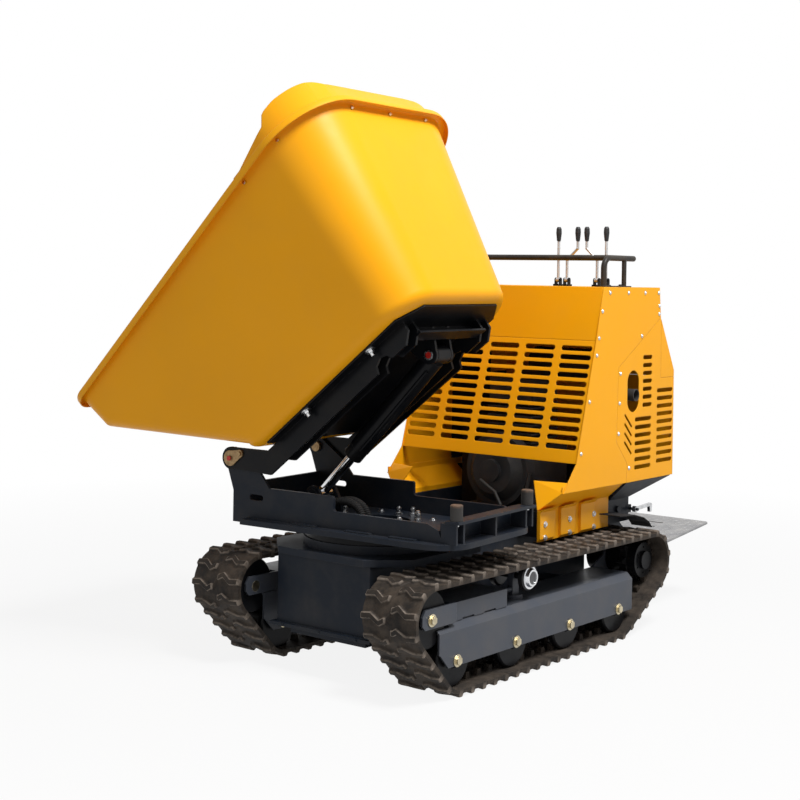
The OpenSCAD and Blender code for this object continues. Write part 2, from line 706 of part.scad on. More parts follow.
// Side wall with the hinge arm at its front end
module wall_outline() difference() {
    union() {
        polygon([[tray_front, deck_top], [tray_front, deck_top + wall_high - 20], [pivot_y - arm_r, pivot_z],
                 [pivot_y + 30, pivot_z + 26], [tray_front + 122, pivot_z - 40],
                 [tray_front + 172, deck_top + wall_high],
                 [wall_step, deck_top + wall_high], [wall_step + 6, deck_top + wall_high - 6],
                 [wall_step + 6, deck_top + wall_low + 8], [wall_step + 14, deck_top + wall_low],
                 [deck_rear - 125, deck_top + wall_low], [deck_rear - 78, deck_top + wall_low - 20],
                 [deck_rear - 62, deck_top]]);
        translate([pivot_y, pivot_z]) circle(r = arm_r);
    }
    translate([pivot_y, pivot_z]) circle(r = pivot_r + run_fit);
    translate([tray_front + 112, deck_top + 78]) slot_2d(66, 22);
}
rib_t = 10;
lug_half = eye_w / 2 + eye_gap;
module turntable_tray() color(navy) turntable() {
    translate([0, 0, deck_low]) linear_extrude(deck_t) deck_outline();
    both_sides() across(wall_in, wall_w / 2) wall_outline();
    block([-wall_in, tray_front, deck_top], [wall_in, tray_front + wall_t, deck_top + wall_high]);
    // Rear wall, cross bar for the bumpers and the ribs that carry it
    block([-wall_in, deck_rear - 78, deck_top], [wall_in, deck_rear - 68, bar_top - bar_t]);
    block([-bumper_gauge / 2 - 24, deck_rear - 50, bar_top - bar_t],
          [bumper_gauge / 2 + 24, deck_rear + bar_out, bar_top]);
    for (x = concat([-1, 0, 1] * (bumper_gauge / 2 - 28), [-1, 1] * (bumper_gauge / 2 + 17)))
        block([x - rib_t / 2, deck_rear - 68, deck_top], [x + rib_t / 2, deck_rear - 6, bar_top - bar_t]);
    // Lugs for the foot of the cylinder, and weld tabs along the walls
    both_sides() across(lug_half, lug_half + 14) union() {
        translate(foot_at) circle(r = 34);
        translate([foot_y - 60, deck_top]) square([120, 44]);
        polygon([[foot_y - 60, deck_top + 40], foot_at + [-31, 14],
                 foot_at + [31, 14], [foot_y + 60, deck_top + 40]]);
    }
    both_sides() bar_x(lug_half + 14, lug_half + 20, foot_y, foot_z, head_r + 4);
    both_sides() for (y = [-180, 60, 250])
        block([wall_w / 2, y, deck_top], [wall_w / 2 + 18, y + 110, deck_top + 5]);
}
module rubber_bumper() {
    translate([0, 0, bar_top]) cylinder(r = bumper_r, h = bumper_top - bar_top - 3);
    translate([0, 0, bumper_top - 3]) cylinder(r1 = bumper_r, r2 = bumper_r - 3, h = 3);
    translate([0, 0, bar_top - bar_t - 9]) cylinder(r = 9, h = 9, $fn = 6);
}
module rubber_bumpers() color(black) turntable() both_sides()
    translate([bumper_gauge / 2, bumper_y, 0]) rubber_bumper();

// Corrugated hoses that rise out of the slew bore and arch over to the cylinder's foot.
// Each follows a route of points chosen by hand, straight at both ends.
hose_r = 15;
hose_rib = 3;
hose_bore = hose_r - hose_rib - 3;
hose_ribs = 52;
hose_sides = 8;
hose_end = [0, -262, 25];
hose_route = [[0, 22, -34], [0, 22, -6], [0, 16, 30], [0, -6, 60], [0, -50, 76], [0, -104, 70],
              [0, -150, 52], [0, -186, 36], [0, -214, 26], [0, -238, 25], hose_end];
hose_xs = [76, 109];
hose_seat = 0.2;
function cat(p, q, r, s, t) = 0.5 * (2 * q + (r - p) * t + (2 * p - 5 * q + 4 * r - s) * t ^ 2
                                     + (3 * q - p - 3 * r + s) * t ^ 3);
function route(u) =
    let (n = len(hose_route) - 1, i = min(floor(u * n), n - 1), t = u * n - i)
    cat(hose_route[max(i - 1, 0)], hose_route[i], hose_route[i + 1], hose_route[min(i + 2, n)], t);
function unit(v) = v / norm(v);
function hose_ring(u, r) =
    let (d = unit(route(min(u + 0.004, 1)) - route(max(u - 0.004, 0))), up = cross([1, 0, 0], d))
    [for (k = [0 : hose_sides - 1])
        let (a = 360 * (k + 0.5) / hose_sides)
        route(u) + r * (cos(a) * [1, 0, 0] + sin(a) * up)];
rings = 2 * hose_ribs + 2;
bore_rings = 24;
hose_points = [
    for (n = [0 : rings - 1]) each hose_ring(n / (rings - 1), hose_r - (n % 2 == 0 ? hose_rib : 0)),
    for (n = [0 : bore_rings - 1]) each hose_ring(n / (bore_rings - 1), hose_bore)
];
function quad(a, b, c, d) = [[a, b, c], [a, c, d]];
function skin(first, count, flip) = [
    for (n = [0 : count - 2], k = [0 : hose_sides - 1])
        let (j = (k + 1) % hose_sides, a = first + n * hose_sides)
        each flip ? quad(a + k, a + j, a + hose_sides + j, a + hose_sides + k)
                  : quad(a + k, a + hose_sides + k, a + hose_sides + j, a + j)
];
function cap(outer, inner, flip) = [
    for (k = [0 : hose_sides - 1])
        let (j = (k + 1) % hose_sides)
        each flip ? quad(outer + k, outer + j, inner + j, inner + k)
                  : quad(outer + k, inner + k, inner + j, outer + j)
];
bore_first = rings * hose_sides;
hose_faces = concat(
    skin(0, rings, false), skin(bore_first, bore_rings, true),
    cap(0, bore_first, true),
    cap((rings - 1) * hose_sides, bore_first + (bore_rings - 1) * hose_sides, false));
module tray_hose() color(black) turntable() for (x = hose_xs) translate([x, 0, deck_top])
    polyhedron(points = hose_points, faces = hose_faces, convexity = 6);

fitting_at = [[-150, 0], [-168, 52], [-112, 112], [-70, 142], [64, 150], [-126, -237]];
module tray_fittings() color(steel) turntable() translate([0, 0, deck_top]) {
    for (p = fitting_at) translate([p[0], p[1], 0]) {
        cylinder(r = 12, h = 12, $fn = 6);
        cylinder(r = 7, h = 34);
        translate([0, 0, 22]) cylinder(r = 10, h = 8, $fn = 6);
    }
    // Couplings that take the hoses' ends
    for (x = hose_xs) {
        bar_y(hose_end[1] - 26, hose_end[1] - hose_seat, x, hose_end[2], hose_r - 1);
        block([x - 11, hose_end[1] - 24, 0], [x + 11, hose_end[1] - 4, hose_end[2] - 5]);
    }
    for (a = [10 : 40 : 330]) rotate([0, 0, a]) translate([ring_bore + 14, 0, 0]) bolt_head(9);
}

// Hopper
module corner(x, y, r) translate([x, y, 0]) cylinder(r = r, h = 1, $fn = 32);
// Rounded four-cornered ring of posts, wider at the rear; both ends can be grown or shrunk all round
module ring_posts(front, rear, front_w, rear_w, round, grow, rear_grow) for (x = [-1, 1]) {
    corner(x * (front_w / 2 - front_round), front + front_round, front_round + grow);
    corner(x * (rear_w / 2 - round), rear - round, round + rear_grow);
}
module base_posts(out, inset)
    ring_posts(floor_front - 0.6 * out, floor_rear + 0.2 * out, floor_w + 0.3 * out, floor_w + 0.3 * out,
               base_round, -inset, -inset);
module rim_frame() translate([0, -rim_front, rim_front_z]) rotate([rim_slope, 0, 0]) children();
module rim_posts(grow, rear_grow)
    ring_posts(0, rim_len, rim_front_w, rim_rear_w, rear_round, grow, rear_grow);
module tub_form(shrink) hull() {
    translate([0, 0, floor_z + shrink]) base_posts(0, floor_round);
    translate([0, 0, floor_z + shrink + 0.3 * floor_round]) base_posts(0, 0.25 * floor_round + shrink);
    translate([0, 0, floor_z + 0.9 * floor_round]) base_posts(floor_round, shrink);
    translate([0, lip_back - rim_front + front_round, rim_front_z - lip_h]) for (x = [-1, 1])
        corner(x * (rim_front_w / 2 - front_round - lip_back), 0, front_round - shrink);
    rim_frame() translate([0, 0, shrink > 0 ? 4 : -1]) rim_posts(-shrink, -shrink);
}
// Top plate and turned-down edge of the flange, still closed over the mouth
module rim_flange() difference() {
    hull() {
        rim_frame() rim_posts(flange_w, flange_rear);
        rim_frame() translate([0, 0, -flange_h]) rim_posts(flange_w - 3, flange_rear - 3);
    }
    hull() {
        rim_frame() translate([0, 0, -4]) rim_posts(flange_w - 4, flange_rear - 4);
        rim_frame() translate([0, 0, -2 * flange_h]) rim_posts(flange_w - 9, flange_rear - 9);
    }
}
module hopper_tub() color(yellow) hopper() difference() {
    union() {
        tub_form(0);
        rim_flange();
    }
    tub_form(hopper_t);
}
guard_from = rim_len - guard_len;
module guard_plan(grow) hull() {
    translate([-rim_rear_w / 2 - grow, guard_from]) square([rim_rear_w + 2 * grow, 1]);
    for (x = [-1, 1]) translate([x * (rim_rear_w / 2 - rear_round), rim_len - rear_round])
        circle(r = rear_round + grow, $fn = 48);
}
// Guard's height seen from the side, and from behind, where it falls away on the right
guard_side = [[guard_from, 0], [rim_len + 20, 0], [rim_len + 20, guard_h], [rim_len - 60, guard_h],
              [rim_len - 122, guard_h - 5], [rim_len - 170, guard_h - 17], [rim_len - 184, guard_h - 27],
              [rim_len - 197, guard_h / 2], [guard_from + 6, 14], [guard_from, 8]];
guard_back = [[-rim_rear_w, 0], [rim_rear_w, 0], [rim_rear_w, guard_h], [380, guard_h], [338, guard_h - 6],
              [312, guard_h - 20], [290, guard_h - 28], [-194, guard_h - 29], [-338, guard_h - 46],
              [-430, 28], [-476, 10], [-rim_rear_w, 10]];
module spill_guard() color(yellow) hopper() rim_frame() {
    intersection() {
        translate([0, 0, 1]) linear_extrude(guard_h) difference() {
            guard_plan(2);
            guard_plan(2 - guard_t);
            translate([0, guard_from]) square([rim_rear_w - 8, 40], center = true);
        }
        across(-rim_rear_w, rim_rear_w) polygon(guard_side);
        along(0, 2 * rim_len) polygon(guard_back);
    }
    // Foot of the guard on the flange
    translate([0, 0, 1]) linear_extrude(guard_t) intersection() {
        difference() {
            guard_plan(flange_rear - 10);
            guard_plan(-1);
        }
        translate([-rim_rear_w, guard_from]) square([2 * rim_rear_w, guard_len + 40]);
    }
}

notch_y = 770;
sub_low = sub_under - sub_h;
beam_rear = 930;
module ear_outline() difference() {
    union() {
        circle(r = ear_r);
        polygon([[-12, -ear_r + 2], [118, sub_low], [notch_y - 36, sub_low], [notch_y - 26, sub_low + 26],
                 [notch_y + 4, sub_low + 40], [notch_y + 34, sub_low + 30], [notch_y + 50, sub_low + 8],
                 [beam_rear - 40, sub_low + 8], [beam_rear, sub_low + 44], [beam_rear, sub_under],
                 [floor_front - 10, sub_under], [28, 30]]);
    }
    circle(r = pivot_r + bolt_fit);
}
module inner_outline() polygon([
    [floor_front - 6, sub_low + 30], [floor_front + 30, sub_low], [notch_y - 36, sub_low],
    [notch_y - 26, sub_low + 26], [notch_y + 4, sub_low + 40], [notch_y + 34, sub_low + 30],
    [notch_y + 50, sub_low + 8], [beam_rear - 40, sub_low + 8], [beam_rear, sub_low + 44],
    [beam_rear, sub_under], [floor_front - 6, sub_under]]);
sub_half = floor_w / 2 - floor_round;
sub_rear = floor_rear - floor_round;
sub_cut = 84;
module hopper_subframe() color(black) hopper() {
    translate([0, 0, sub_under]) linear_extrude(sub_top_t) polygon([
        [-sub_half, floor_front + floor_round], [sub_half, floor_front + floor_round],
        [sub_half, sub_rear - sub_cut], [sub_half - sub_cut, sub_rear],
        [-sub_half + sub_cut, sub_rear], [-sub_half, sub_rear - sub_cut]]);
    both_sides() {
        across(ear_in, ear_out) ear_outline();
        across(ear_out - sub_pair - sub_t, ear_out - sub_pair) inner_outline();
        // Lugs for the head of the cylinder
        across(lug_half, lug_half + sub_t) difference() {
            union() {
                translate([head_y, -head_drop]) circle(r = 34);
                polygon([[head_y - 60, sub_under], [head_y - 33, -head_drop - 6],
                         [head_y + 33, -head_drop - 6], [head_y + 75, sub_under]]);
            }
            translate([head_y, -head_drop]) circle(r = head_r + bolt_fit);
        }
    }
    // Cross channel at the rear
    along(beam_rear - 42, beam_rear - 34) translate([-ear_out + sub_pair, sub_under - 44])
        square([2 * (ear_out - sub_pair), 44]);
    block([-ear_out + sub_pair, beam_rear - 42, sub_under - 50],
          [ear_out - sub_pair, beam_rear + 6, sub_under - 42]);
}
pin_in = wall_in - 14;
module pivot_pins() color(gold) hopper() both_sides() {
    bar_x(pin_in, ear_out, 0, 0, pivot_r);
    across(ear_out, ear_out + 7) union() {
        circle(r = 29);
        translate([48, -14]) circle(r = 15);
        polygon([[10, 27], [54, -1], [42, -28], [-4, -29]]);
    }
    bar_x(ear_out + 7, ear_out + 14, 0, 0, 9);
    translate([ear_out + 7, 48, -14]) rotate([0, 90, 0]) cylinder(r = 9, h = 6, $fn = 6);
}
guard_bolt_drop = 25;
// Half width of the rim at a distance from its rear end: on the rear corner's arc, or on the straight side
function rim_half(d) =
    d < rear_round ? rim_rear_w / 2 - rear_round + sqrt(rear_round ^ 2 - (rear_round - d) ^ 2)
    : (rim_front_w + (rim_rear_w - rim_front_w) * (rim_len - d - front_round)
       / (rim_len - rear_round - front_round)) / 2;
module hopper_bolts() color(steel) hopper() {
    // Studs and nuts under the floor, and the cylinder's head pin
    for (x = [-1, 1], y = [415, 774]) translate([x * (ear_out + 24), y, sub_under]) mirror([0, 0, 1]) {
        bolt_head(14);
        cylinder(r = 8, h = 26);
    }
    bar_x(-lug_half - sub_t - 4, lug_half + sub_t + 4, head_y, -head_drop, head_r);
    // Heads of the spill guard's bolts, on the wall under the flange
    rim_frame() translate([0, 0, -guard_bolt_drop]) {
        both_sides() for (d = [190, 393]) bar_x(rim_half(d) - 1.4, rim_half(d) + 6, rim_len - d, 0, 6.5);
        for (x = [-1, 0, 1] * 236) bar_y(rim_len - 5, rim_len + 3, x, 0, 6.5);
    }
}

// Tip cylinder, drawn along +Y from its head pin at the origin
module cylinder_axes() turntable() translate([0, head_at[0], head_at[1]])
    rotate([cyl_angle + 180, 0, 0]) children();
rod_bore = rod_r + run_fit;
module cylinder_barrel() color(black) cylinder_axes() difference() {
    union() {
        bar_x(-eye_w / 2, eye_w / 2, 0, 0, head_r + 16);
        bar_y(20, barrel_len - 46, 0, 0, barrel_r);
        bar_y(barrel_len - 50, barrel_len, 0, 0, barrel_r - 2);
        // Hard line and its port beside the barrel
        bar_y(60, barrel_len - 60, barrel_r - 6, 26, 7);
    }
    bar_x(-eye_w, eye_w, 0, 0, head_r + run_fit);
    bar_y(60, barrel_len - 30, 0, 0, barrel_r - 8);
    bar_y(barrel_len - 40, barrel_len + 1, 0, 0, rod_bore);
}
piston_y = 240;
module piston_rod() color(steel) cylinder_axes() {
    bar_y(piston_y + 26, cyl_len - 20, 0, 0, rod_r);
    bar_y(piston_y, piston_y + 30, 0, 0, barrel_r - 8 - run_fit);
    bar_x(-eye_w / 2, eye_w / 2, cyl_len, 0, head_r + 9);
}

// Engine deck and what stands on it
// Flat sheet with the given corners
module sheet_between(a, b, c, d) hull() for (p = [a, b, c, d]) translate(p) cube(sheet);
step_arm_x = 250;
latch_x = 376;
latch_y = 1260;
latch_z = 467;
latch_r = 6;
boss_y = 1156;
module engine_deck() color(navy) machine() {
    difference() {
        block([-bed_half, bed_front, bed_low], [bed_half, bed_rear, bed_top]);
        block([-bed_half + bed_t, bed_front + bed_t, bed_low + bed_t],
              [bed_half - bed_t, bed_rear - bed_t, bed_top + 1]);
    }
    // Arms that carry the platform hinge, and its pins
    both_sides() across(step_arm_x - 8, step_arm_x + 8) union() {
        polygon([[bed_rear - 150, bed_low], [bed_rear - 60, bed_low - 56], [step_y, step_z - 24],
                 [step_y + 4, step_z + 24], [bed_rear, bed_low + 40], [bed_rear, bed_low]]);
        translate([step_y, step_z]) circle(r = 24);
    }
    both_sides() bar_x(step_arm_x - 46, step_arm_x + 8, step_y, step_z, step_pin_r);
    // Tab and pin of the latch, pivot boss, and the flared apron under the rear of the housing
    block([bed_half - bed_t, bed_rear - 30, latch_z - 16], [bed_half, latch_y + 14, latch_z + 16]);
    bar_x(bed_half - 1, latch_x + 16, latch_y, latch_z, latch_r);
    both_sides() bar_x(bed_half - 1, bed_half + 10, boss_y, latch_z + 9, 14);
    both_sides() sheet_between([bed_half - sheet, seam_foot[0] + 4, bed_top - sheet],
                               [bed_half - sheet, bed_rear - 4, bed_top - sheet],
                               [half - 2 * sheet, house_rear - 20, house_low - sheet],
                               [half - 2 * sheet, seam_foot[0] + 4, house_low - sheet]);
}

skirt_in = bed_half;
skirt_front = 551;
skirt_rear = seam_foot[0] - 2;
skirt_knee = bed_top + 16;
skirt_low = bed_low - 6;
flare_top = house_low + 6;
pad_ys = [551, 700, 848];
pad_w = 104;
pad_t = 12;
wing_in = 300;
wing_top = house_low + 40;
module deck_skirts() color(yellow) machine() both_sides() {
    block([skirt_in, skirt_front, skirt_low], [skirt_in + sheet, skirt_rear, skirt_knee + sheet]);
    block([half - 2 * sheet, cheek_y, flare_top - sheet], [half - sheet, skirt_rear, flare_top + 24]);
    sheet_between([skirt_in, skirt_front, skirt_knee], [skirt_in, skirt_rear - sheet, skirt_knee],
                  [half - 2 * sheet, skirt_rear - sheet, flare_top], [half - 2 * sheet, cheek_y, flare_top]);
    // Pressed pads that stiffen the skirt
    for (y = pad_ys) along(y, y + pad_w) polygon([
        [skirt_in + sheet - 1, skirt_low], [skirt_in + sheet + pad_t, skirt_low + pad_t],
        [skirt_in + sheet + pad_t, skirt_knee - 6], [skirt_in + sheet + pad_t + 20, skirt_knee + 10],
        [skirt_in + sheet - 1, skirt_knee - 2]]);
    // Wing that closes the front corner
    sheet_between([skirt_in, skirt_front, skirt_knee], [half - 2 * sheet, cheek_y, flare_top],
                  [half - 2 * sheet, cheek_y + 30, wing_top], [wing_in, cheek_y, wing_top]);
}

block_y = 830;
crank_z = 640;
module engine_block() color("#4A4C50") machine() {
    bed = bed_low + bed_t;
    block([-170, block_y, bed], [150, block_y + 300, bed + 60]);
    block([-150, block_y + 20, bed + 60], [130, block_y + 280, 740]);
    // Finned cylinder and its head
    for (n = [0 : 9]) block([-120, block_y + 50, 744 + 18 * n], [100, block_y + 250, 752 + 18 * n]);
    block([-90, block_y + 80, 740], [70, block_y + 220, 922]);
    block([-120, block_y + 60, 922], [100, block_y + 240, 980]);
    // Blower housing with its starter in front
    translate([-10, block_y + 20, crank_z]) rotate([90, 0, 0]) cylinder(r = 150, h = 60);
    translate([-10, block_y - 40, crank_z]) rotate([90, 0, 0]) cylinder(r1 = 130, r2 = 95, h = 34);
    bar_y(block_y - 92, block_y - 74, -10, crank_z, 46);
    block([-120, block_y + 60, 980], [100, block_y + 240, 1010]);
}
pump_x = 235;
line_y = cheek_y + 118;
line_r = 7;
bent_line = [[62, 0, bed_low + bed_t], [62, 0, 512], [34, 0, 559], [-40, 0, 602]];
strut_foot = [159, 0, bed_low + bed_t + 36];
strut_top = [206, 0, 650];
module rod_between(a, b, r) translate(a)
    rotate([0, atan2(b[0] - a[0], b[2] - a[2]), 0]) cylinder(r = r, h = norm(b - a));
module hydraulic_pump() color(steel) machine() {
    bed = bed_low + bed_t;
    block([pump_x - 55, block_y + 60, bed], [pump_x + 55, block_y + 200, bed + 150]);
    bar_x(150, pump_x - 55, block_y + 130, bed + 100, 34);
    bar_y(block_y - 90, block_y + 60, pump_x, bed + 100, 26);
    // Bent pressure line and gas strut that show below the grille
    translate([0, line_y, 0]) {
        for (n = [0 : 2]) rod_between(bent_line[n], bent_line[n + 1], line_r);
        for (n = [1, 2]) translate(bent_line[n]) sphere(r = line_r + 0.6);
        translate([strut_foot[0], 0, bed]) cylinder(r = 11, h = 44);
        rod_between(strut_foot, strut_top, 8);
    }
}
module tanks() color(black) machine() {
    bed = bed_low + bed_t;
    // Oil tank at the right rear, fuel tank under the console
    difference() {
        block([-bed_half + bed_t + 2, 1000, bed], [-190, bed_rear - bed_t - 4, bed + 420]);
        block([-bed_half + bed_t + 8, 1006, bed + 6], [-196, bed_rear - bed_t - 10, bed + 414]);
    }
    translate([-260, 1100, bed + 420]) cylinder(r = 34, h = 24);
    difference() {
        block([-half + 2 * sheet, 960, 1200], [-150, 1300, 1330]);
        block([-half + 2 * sheet + 6, 966, 1206], [-156, 1294, 1324]);
    }
    translate([-280, 1130, 1330]) cylinder(r = 40, h = console_z - sheet - 1330);
    block([-half + sheet, 1000, 1240], [-half + 2 * sheet, 1260, 1290]);
}

lever_xs = [for (x = [-lever_outer, -lever_inner, lever_inner, lever_outer]) lever_mid + x];
lever_pivot = console_z + 26;
yoke_gap = 8;
yoke_t = 5;
module control_valve() color(black) machine() {
    // Spool block hung under the console, with a clevis for each lever on top
    block([lever_xs[0] - 50, lever_y - 70, console_z - sheet - 110],
          [lever_xs[3] + 50, lever_y + 70, console_z - sheet]);
    for (x = lever_xs) {
        block([x - 16, lever_y - 16, console_z], [x + 16, lever_y + 16, console_z + 8]);
        for (from = [x - yoke_gap - yoke_t, x + yoke_gap]) across(from, from + yoke_t) union() {
            translate([lever_y, lever_pivot]) circle(r = 10);
            translate([lever_y - 10, console_z]) square([20, lever_pivot - console_z]);
        }
        bar_x(x - 15, x + 15, lever_y, lever_pivot, 5);
    }
}
// Lever n stands on its clevis pin, and the two inner ones lean in to bring their knobs together
function knob_x(n) = n == 1 ? lever_mid - lever_knob : n == 2 ? lever_mid + lever_knob : lever_xs[n];
knob_h = 60;
rod_top = console_z + lever_h - knob_h;
bend_low = console_z + 110;
bend_high = bend_low + 50;
module lever(n) color(steel) machine() translate([0, lever_y, 0]) {
    difference() {
        union() {
            bar_x(lever_xs[n] - yoke_gap + 0.5, lever_xs[n] + yoke_gap - 0.5, 0, lever_pivot, 10);
            rod_between([lever_xs[n], 0, lever_pivot + 6], [lever_xs[n], 0, bend_low], lever_r);
            translate([lever_xs[n], 0, bend_low]) sphere(r = lever_r + 0.6);
            rod_between([lever_xs[n], 0, bend_low], [knob_x(n), 0, bend_high], lever_r);
            translate([knob_x(n), 0, bend_high]) sphere(r = lever_r + 0.6);
            rod_between([knob_x(n), 0, bend_high], [knob_x(n), 0, rod_top], lever_r);
        }
        bar_x(lever_xs[n] - 30, lever_xs[n] + 30, 0, lever_pivot, 5 + run_fit);
    }
    translate([knob_x(n), 0, rod_top]) rotate_extrude() polygon([
        [0, 0], [knob_r - 4, 0], [knob_r - 3, 6], [knob_r, knob_h - 26], [knob_r - 1, knob_h - 8],
        [knob_r - 5, knob_h], [0, knob_h]]);
}

pipe_at = [1138, 957];
pipe_r = 25;
module exhaust() color("#2A2A2A") machine() {
    // Muffler across the engine, with its outlet in the side panel's opening
    bar_x(-60, half - 90, pipe_at[0] + 20, pipe_at[1] + 110, 70);
    difference() {
        bar_x(half - 170, half + 8, pipe_at[0], pipe_at[1], pipe_r);
        bar_x(half - 100, half + 9, pipe_at[0], pipe_at[1], pipe_r - 3);
    }
    block([half - 166, pipe_at[0] - 20, pipe_at[1] + 10], [half - 126, pipe_at[0] + 20, pipe_at[1] + 90]);
    block([-60, block_y + 200, 1010], [60, pipe_at[0] + 60, 1050]);
}

// Housing panels
inner = half - sheet;
module front_panel() color(yellow) machine() across(-inner, inner) strip_2d(crease, top_front, -sheet);
grille_len = norm(grille_low - crease);
grille_tilt = atan2(crease_y - grille_y, crease_z - grille_z);
grille_first = 34;
module grille_panel() color(yellow) machine()
    translate([0, crease_y, crease_z]) rotate([-grille_tilt, 0, 0]) rotate([90, 0, 0])
        translate([0, 0, -sheet]) linear_extrude(sheet) difference() {
            translate([-inner, -grille_len]) square([2 * inner, grille_len - seam]);
            for (r = [0 : grille_rows - 1], c = [0 : grille_cols - 1])
                translate([(c - (grille_cols - 1) / 2) * slot_step, -grille_first - r * slot_rise])
                    slot_2d(slot_len, slot_h);
        }
module console_top() color(yellow) machine() across(-inner, inner) polygon([
    top_front + [sheet + seam, -sheet], top_rear + [-sheet, -sheet], neck + [-sheet, 0], neck, top_rear,
    top_front + [sheet + seam, 0]]);
module side_panel(side) color(yellow) machine() on_side(side) across(inner, half) polygon([
    top_front, top_rear, neck + [0, -4], seam_top, seam_mid, seam_low, seam_foot, [cheek_y, house_low + 4],
    grille_low + [-4, 0], crease + [-4, 0]]);

vent_h = 17;
vent_rise = 33;
hole_w = 94;
hole_h = 171;
hole_at = [1126, 973];
module rear_side(side) color(yellow) machine() on_side(side) across(inner, half) difference() {
    polygon([neck + [0, -seam - 4], [hood_front - seam, neck_z - 14], [hood_front - seam, hood_low - seam],
             [house_rear, hood_low - seam], [house_rear, house_low], seam_foot + [seam, 0],
             seam_low + [seam, 0.4], seam_mid + [seam, 0], seam_top + [seam, -0.5]]);
    translate(hole_at) rotate(90) slot_2d(hole_h, hole_w);
    for (n = [0 : 6]) translate([1243, 1110 - n * vent_rise]) slot_2d(76, vent_h);
    for (n = [0 : 6]) translate([1212, 855 - n * vent_rise]) slot_2d(135, vent_h);
    for (n = [0 : 9]) translate([1394, 966 - n * vent_rise]) slot_2d(135, vent_h);
    for (n = [0 : 3]) translate([1090, 853 - n * 37]) rotate(-43) slot_2d(82, 10);
}
module rear_hood() color(yellow) machine() {
    across(-inner, inner) union() {
        strip_2d(neck + [0, -seam], knee, -sheet);
        polygon([knee, [house_rear, hood_low], [house_rear - sheet, hood_low], knee + [-sheet, -1]]);
    }
    both_sides() across(inner, half)
        polygon([neck + [6, -12], knee, [house_rear, hood_low], [hood_front, hood_low]]);
}
module rear_panel() color(yellow) machine()
    block([-inner, house_rear - sheet, house_low], [inner, house_rear, hood_low - seam]);

rail_bend = 44;
rail_z = console_z + rail_h;
rail_leg = 1148;
foot_t = 5;
module handrail() color("#3C4046") machine() {
    bar_x(-rail_x, rail_x, rail_front + rail_bend, rail_z, rail_r);
    both_sides() {
        translate([rail_x, rail_front, console_z + foot_t])
            cylinder(r = rail_r, h = rail_h - foot_t - rail_bend);
        translate([rail_x, rail_front + rail_bend, rail_z - rail_bend]) rotate([90, 0, -90])
            rotate_extrude(angle = 90) translate([rail_bend, 0]) circle(r = rail_r);
        bar_y(rail_front + rail_bend, rail_rear, rail_x, rail_z, rail_r);
        translate([rail_x, rail_leg, console_z + foot_t]) cylinder(r = rail_r - 2, h = rail_h - foot_t);
        // Foot strip under both legs
        block([rail_x - 26, rail_front - 20, console_z], [rail_x + 16, rail_leg + 34, console_z + foot_t]);
        for (y = [rail_front + 34, rail_leg - 30]) translate([rail_x, y, console_z + foot_t]) bolt_head(7);
    }
}

side_screws = [
    for (u = [0.1, 0.42, 0.72, 0.97]) top_front + u * (top_rear - top_front) + [4, -22],
    [console_rear - 2, 1325], [console_rear - 2, 1290],
    for (u = [0.45, 0.95]) top_front + u * (crease - top_front) + [14, 0],
    for (u = [0.12, 0.5, 0.92]) crease + u * (grille_low - crease) + [18, 0],
    [1190, 1200],
];
rear_screws = [[1020, 1050], [1016, 930], [1012, 806], [1100, 660]];
skirt_bolts = [for (y = [586, 763, 945], z = [430, 482]) [y, z]];
module panel_screws() color(steel) machine() both_sides() {
    for (p = concat(side_screws, rear_screws)) translate([half, p[0], p[1]]) rotate([0, 90, 0]) {
        cylinder(r = 8, h = 1.5);
        cylinder(r1 = 7, r2 = 4, h = 5);
    }
    for (p = skirt_bolts) translate([skirt_in + sheet + pad_t, p[0], p[1]]) rotate([0, 90, 0]) bolt_head(8);
}

mud_out = 450;
mud_line = [[1010, 470], [1130, 462], [1206, 443], [1250, 420], [1275, 397]];
module mud_guards() color(black) machine() both_sides() across(skirt_in + sheet, mud_out)
    for (n = [0 : len(mud_line) - 2])
        polygon([mud_line[n], mud_line[n + 1], mud_line[n + 1] + [0, 4], mud_line[n] + [0, 4]]);

step_low = step_pin_r + 6;
knuckle_r = 18;
knuckle_out = step_arm_x - 12;
module standing_platform() color(grey) machine() translate([0, step_y, step_z]) rotate([step_tilt, 0, 0]) {
    translate([0, 0, step_low]) linear_extrude(step_t) difference() {
        polygon([[-step_w / 2, 8], [step_w / 2, 8], [step_w / 2, step_len - 12], [step_w / 2 - 12, step_len],
                 [-step_w / 2 + 12, step_len], [-step_w / 2, step_len - 12]]);
        for (x = [-1, 1], y = [255, 329]) translate([x * 190, y]) slot_2d(84, 14);
        for (x = [-1, 1]) translate([x * step_arm_x, 0]) square([24, 96], center = true);
    }
    both_sides() {
        // Hinge knuckle beside each arm, and a rib under the plate behind it
        across(knuckle_out - 30, knuckle_out) difference() {
            union() {
                circle(r = knuckle_r);
                polygon([[-4, knuckle_r - 2], [30, step_low], [60, step_low], [knuckle_r, -4]]);
                translate([8, 4]) square([50, step_low - 4]);
            }
            circle(r = step_pin_r + run_fit);
        }
        across(knuckle_out - 30, knuckle_out - 22)
            polygon([[50, step_low], [16, -8], [60, -22], [step_len - 30, step_low]]);
        across(step_w / 2 - 108, step_w / 2 - 100)
            polygon([[20, step_low], [24, -8], [step_len - 90, -8], [step_len - 60, step_low]]);
    }
}
hook = [[0, 0], [128, 7], [125, -24]];
hook_r = 6.5;
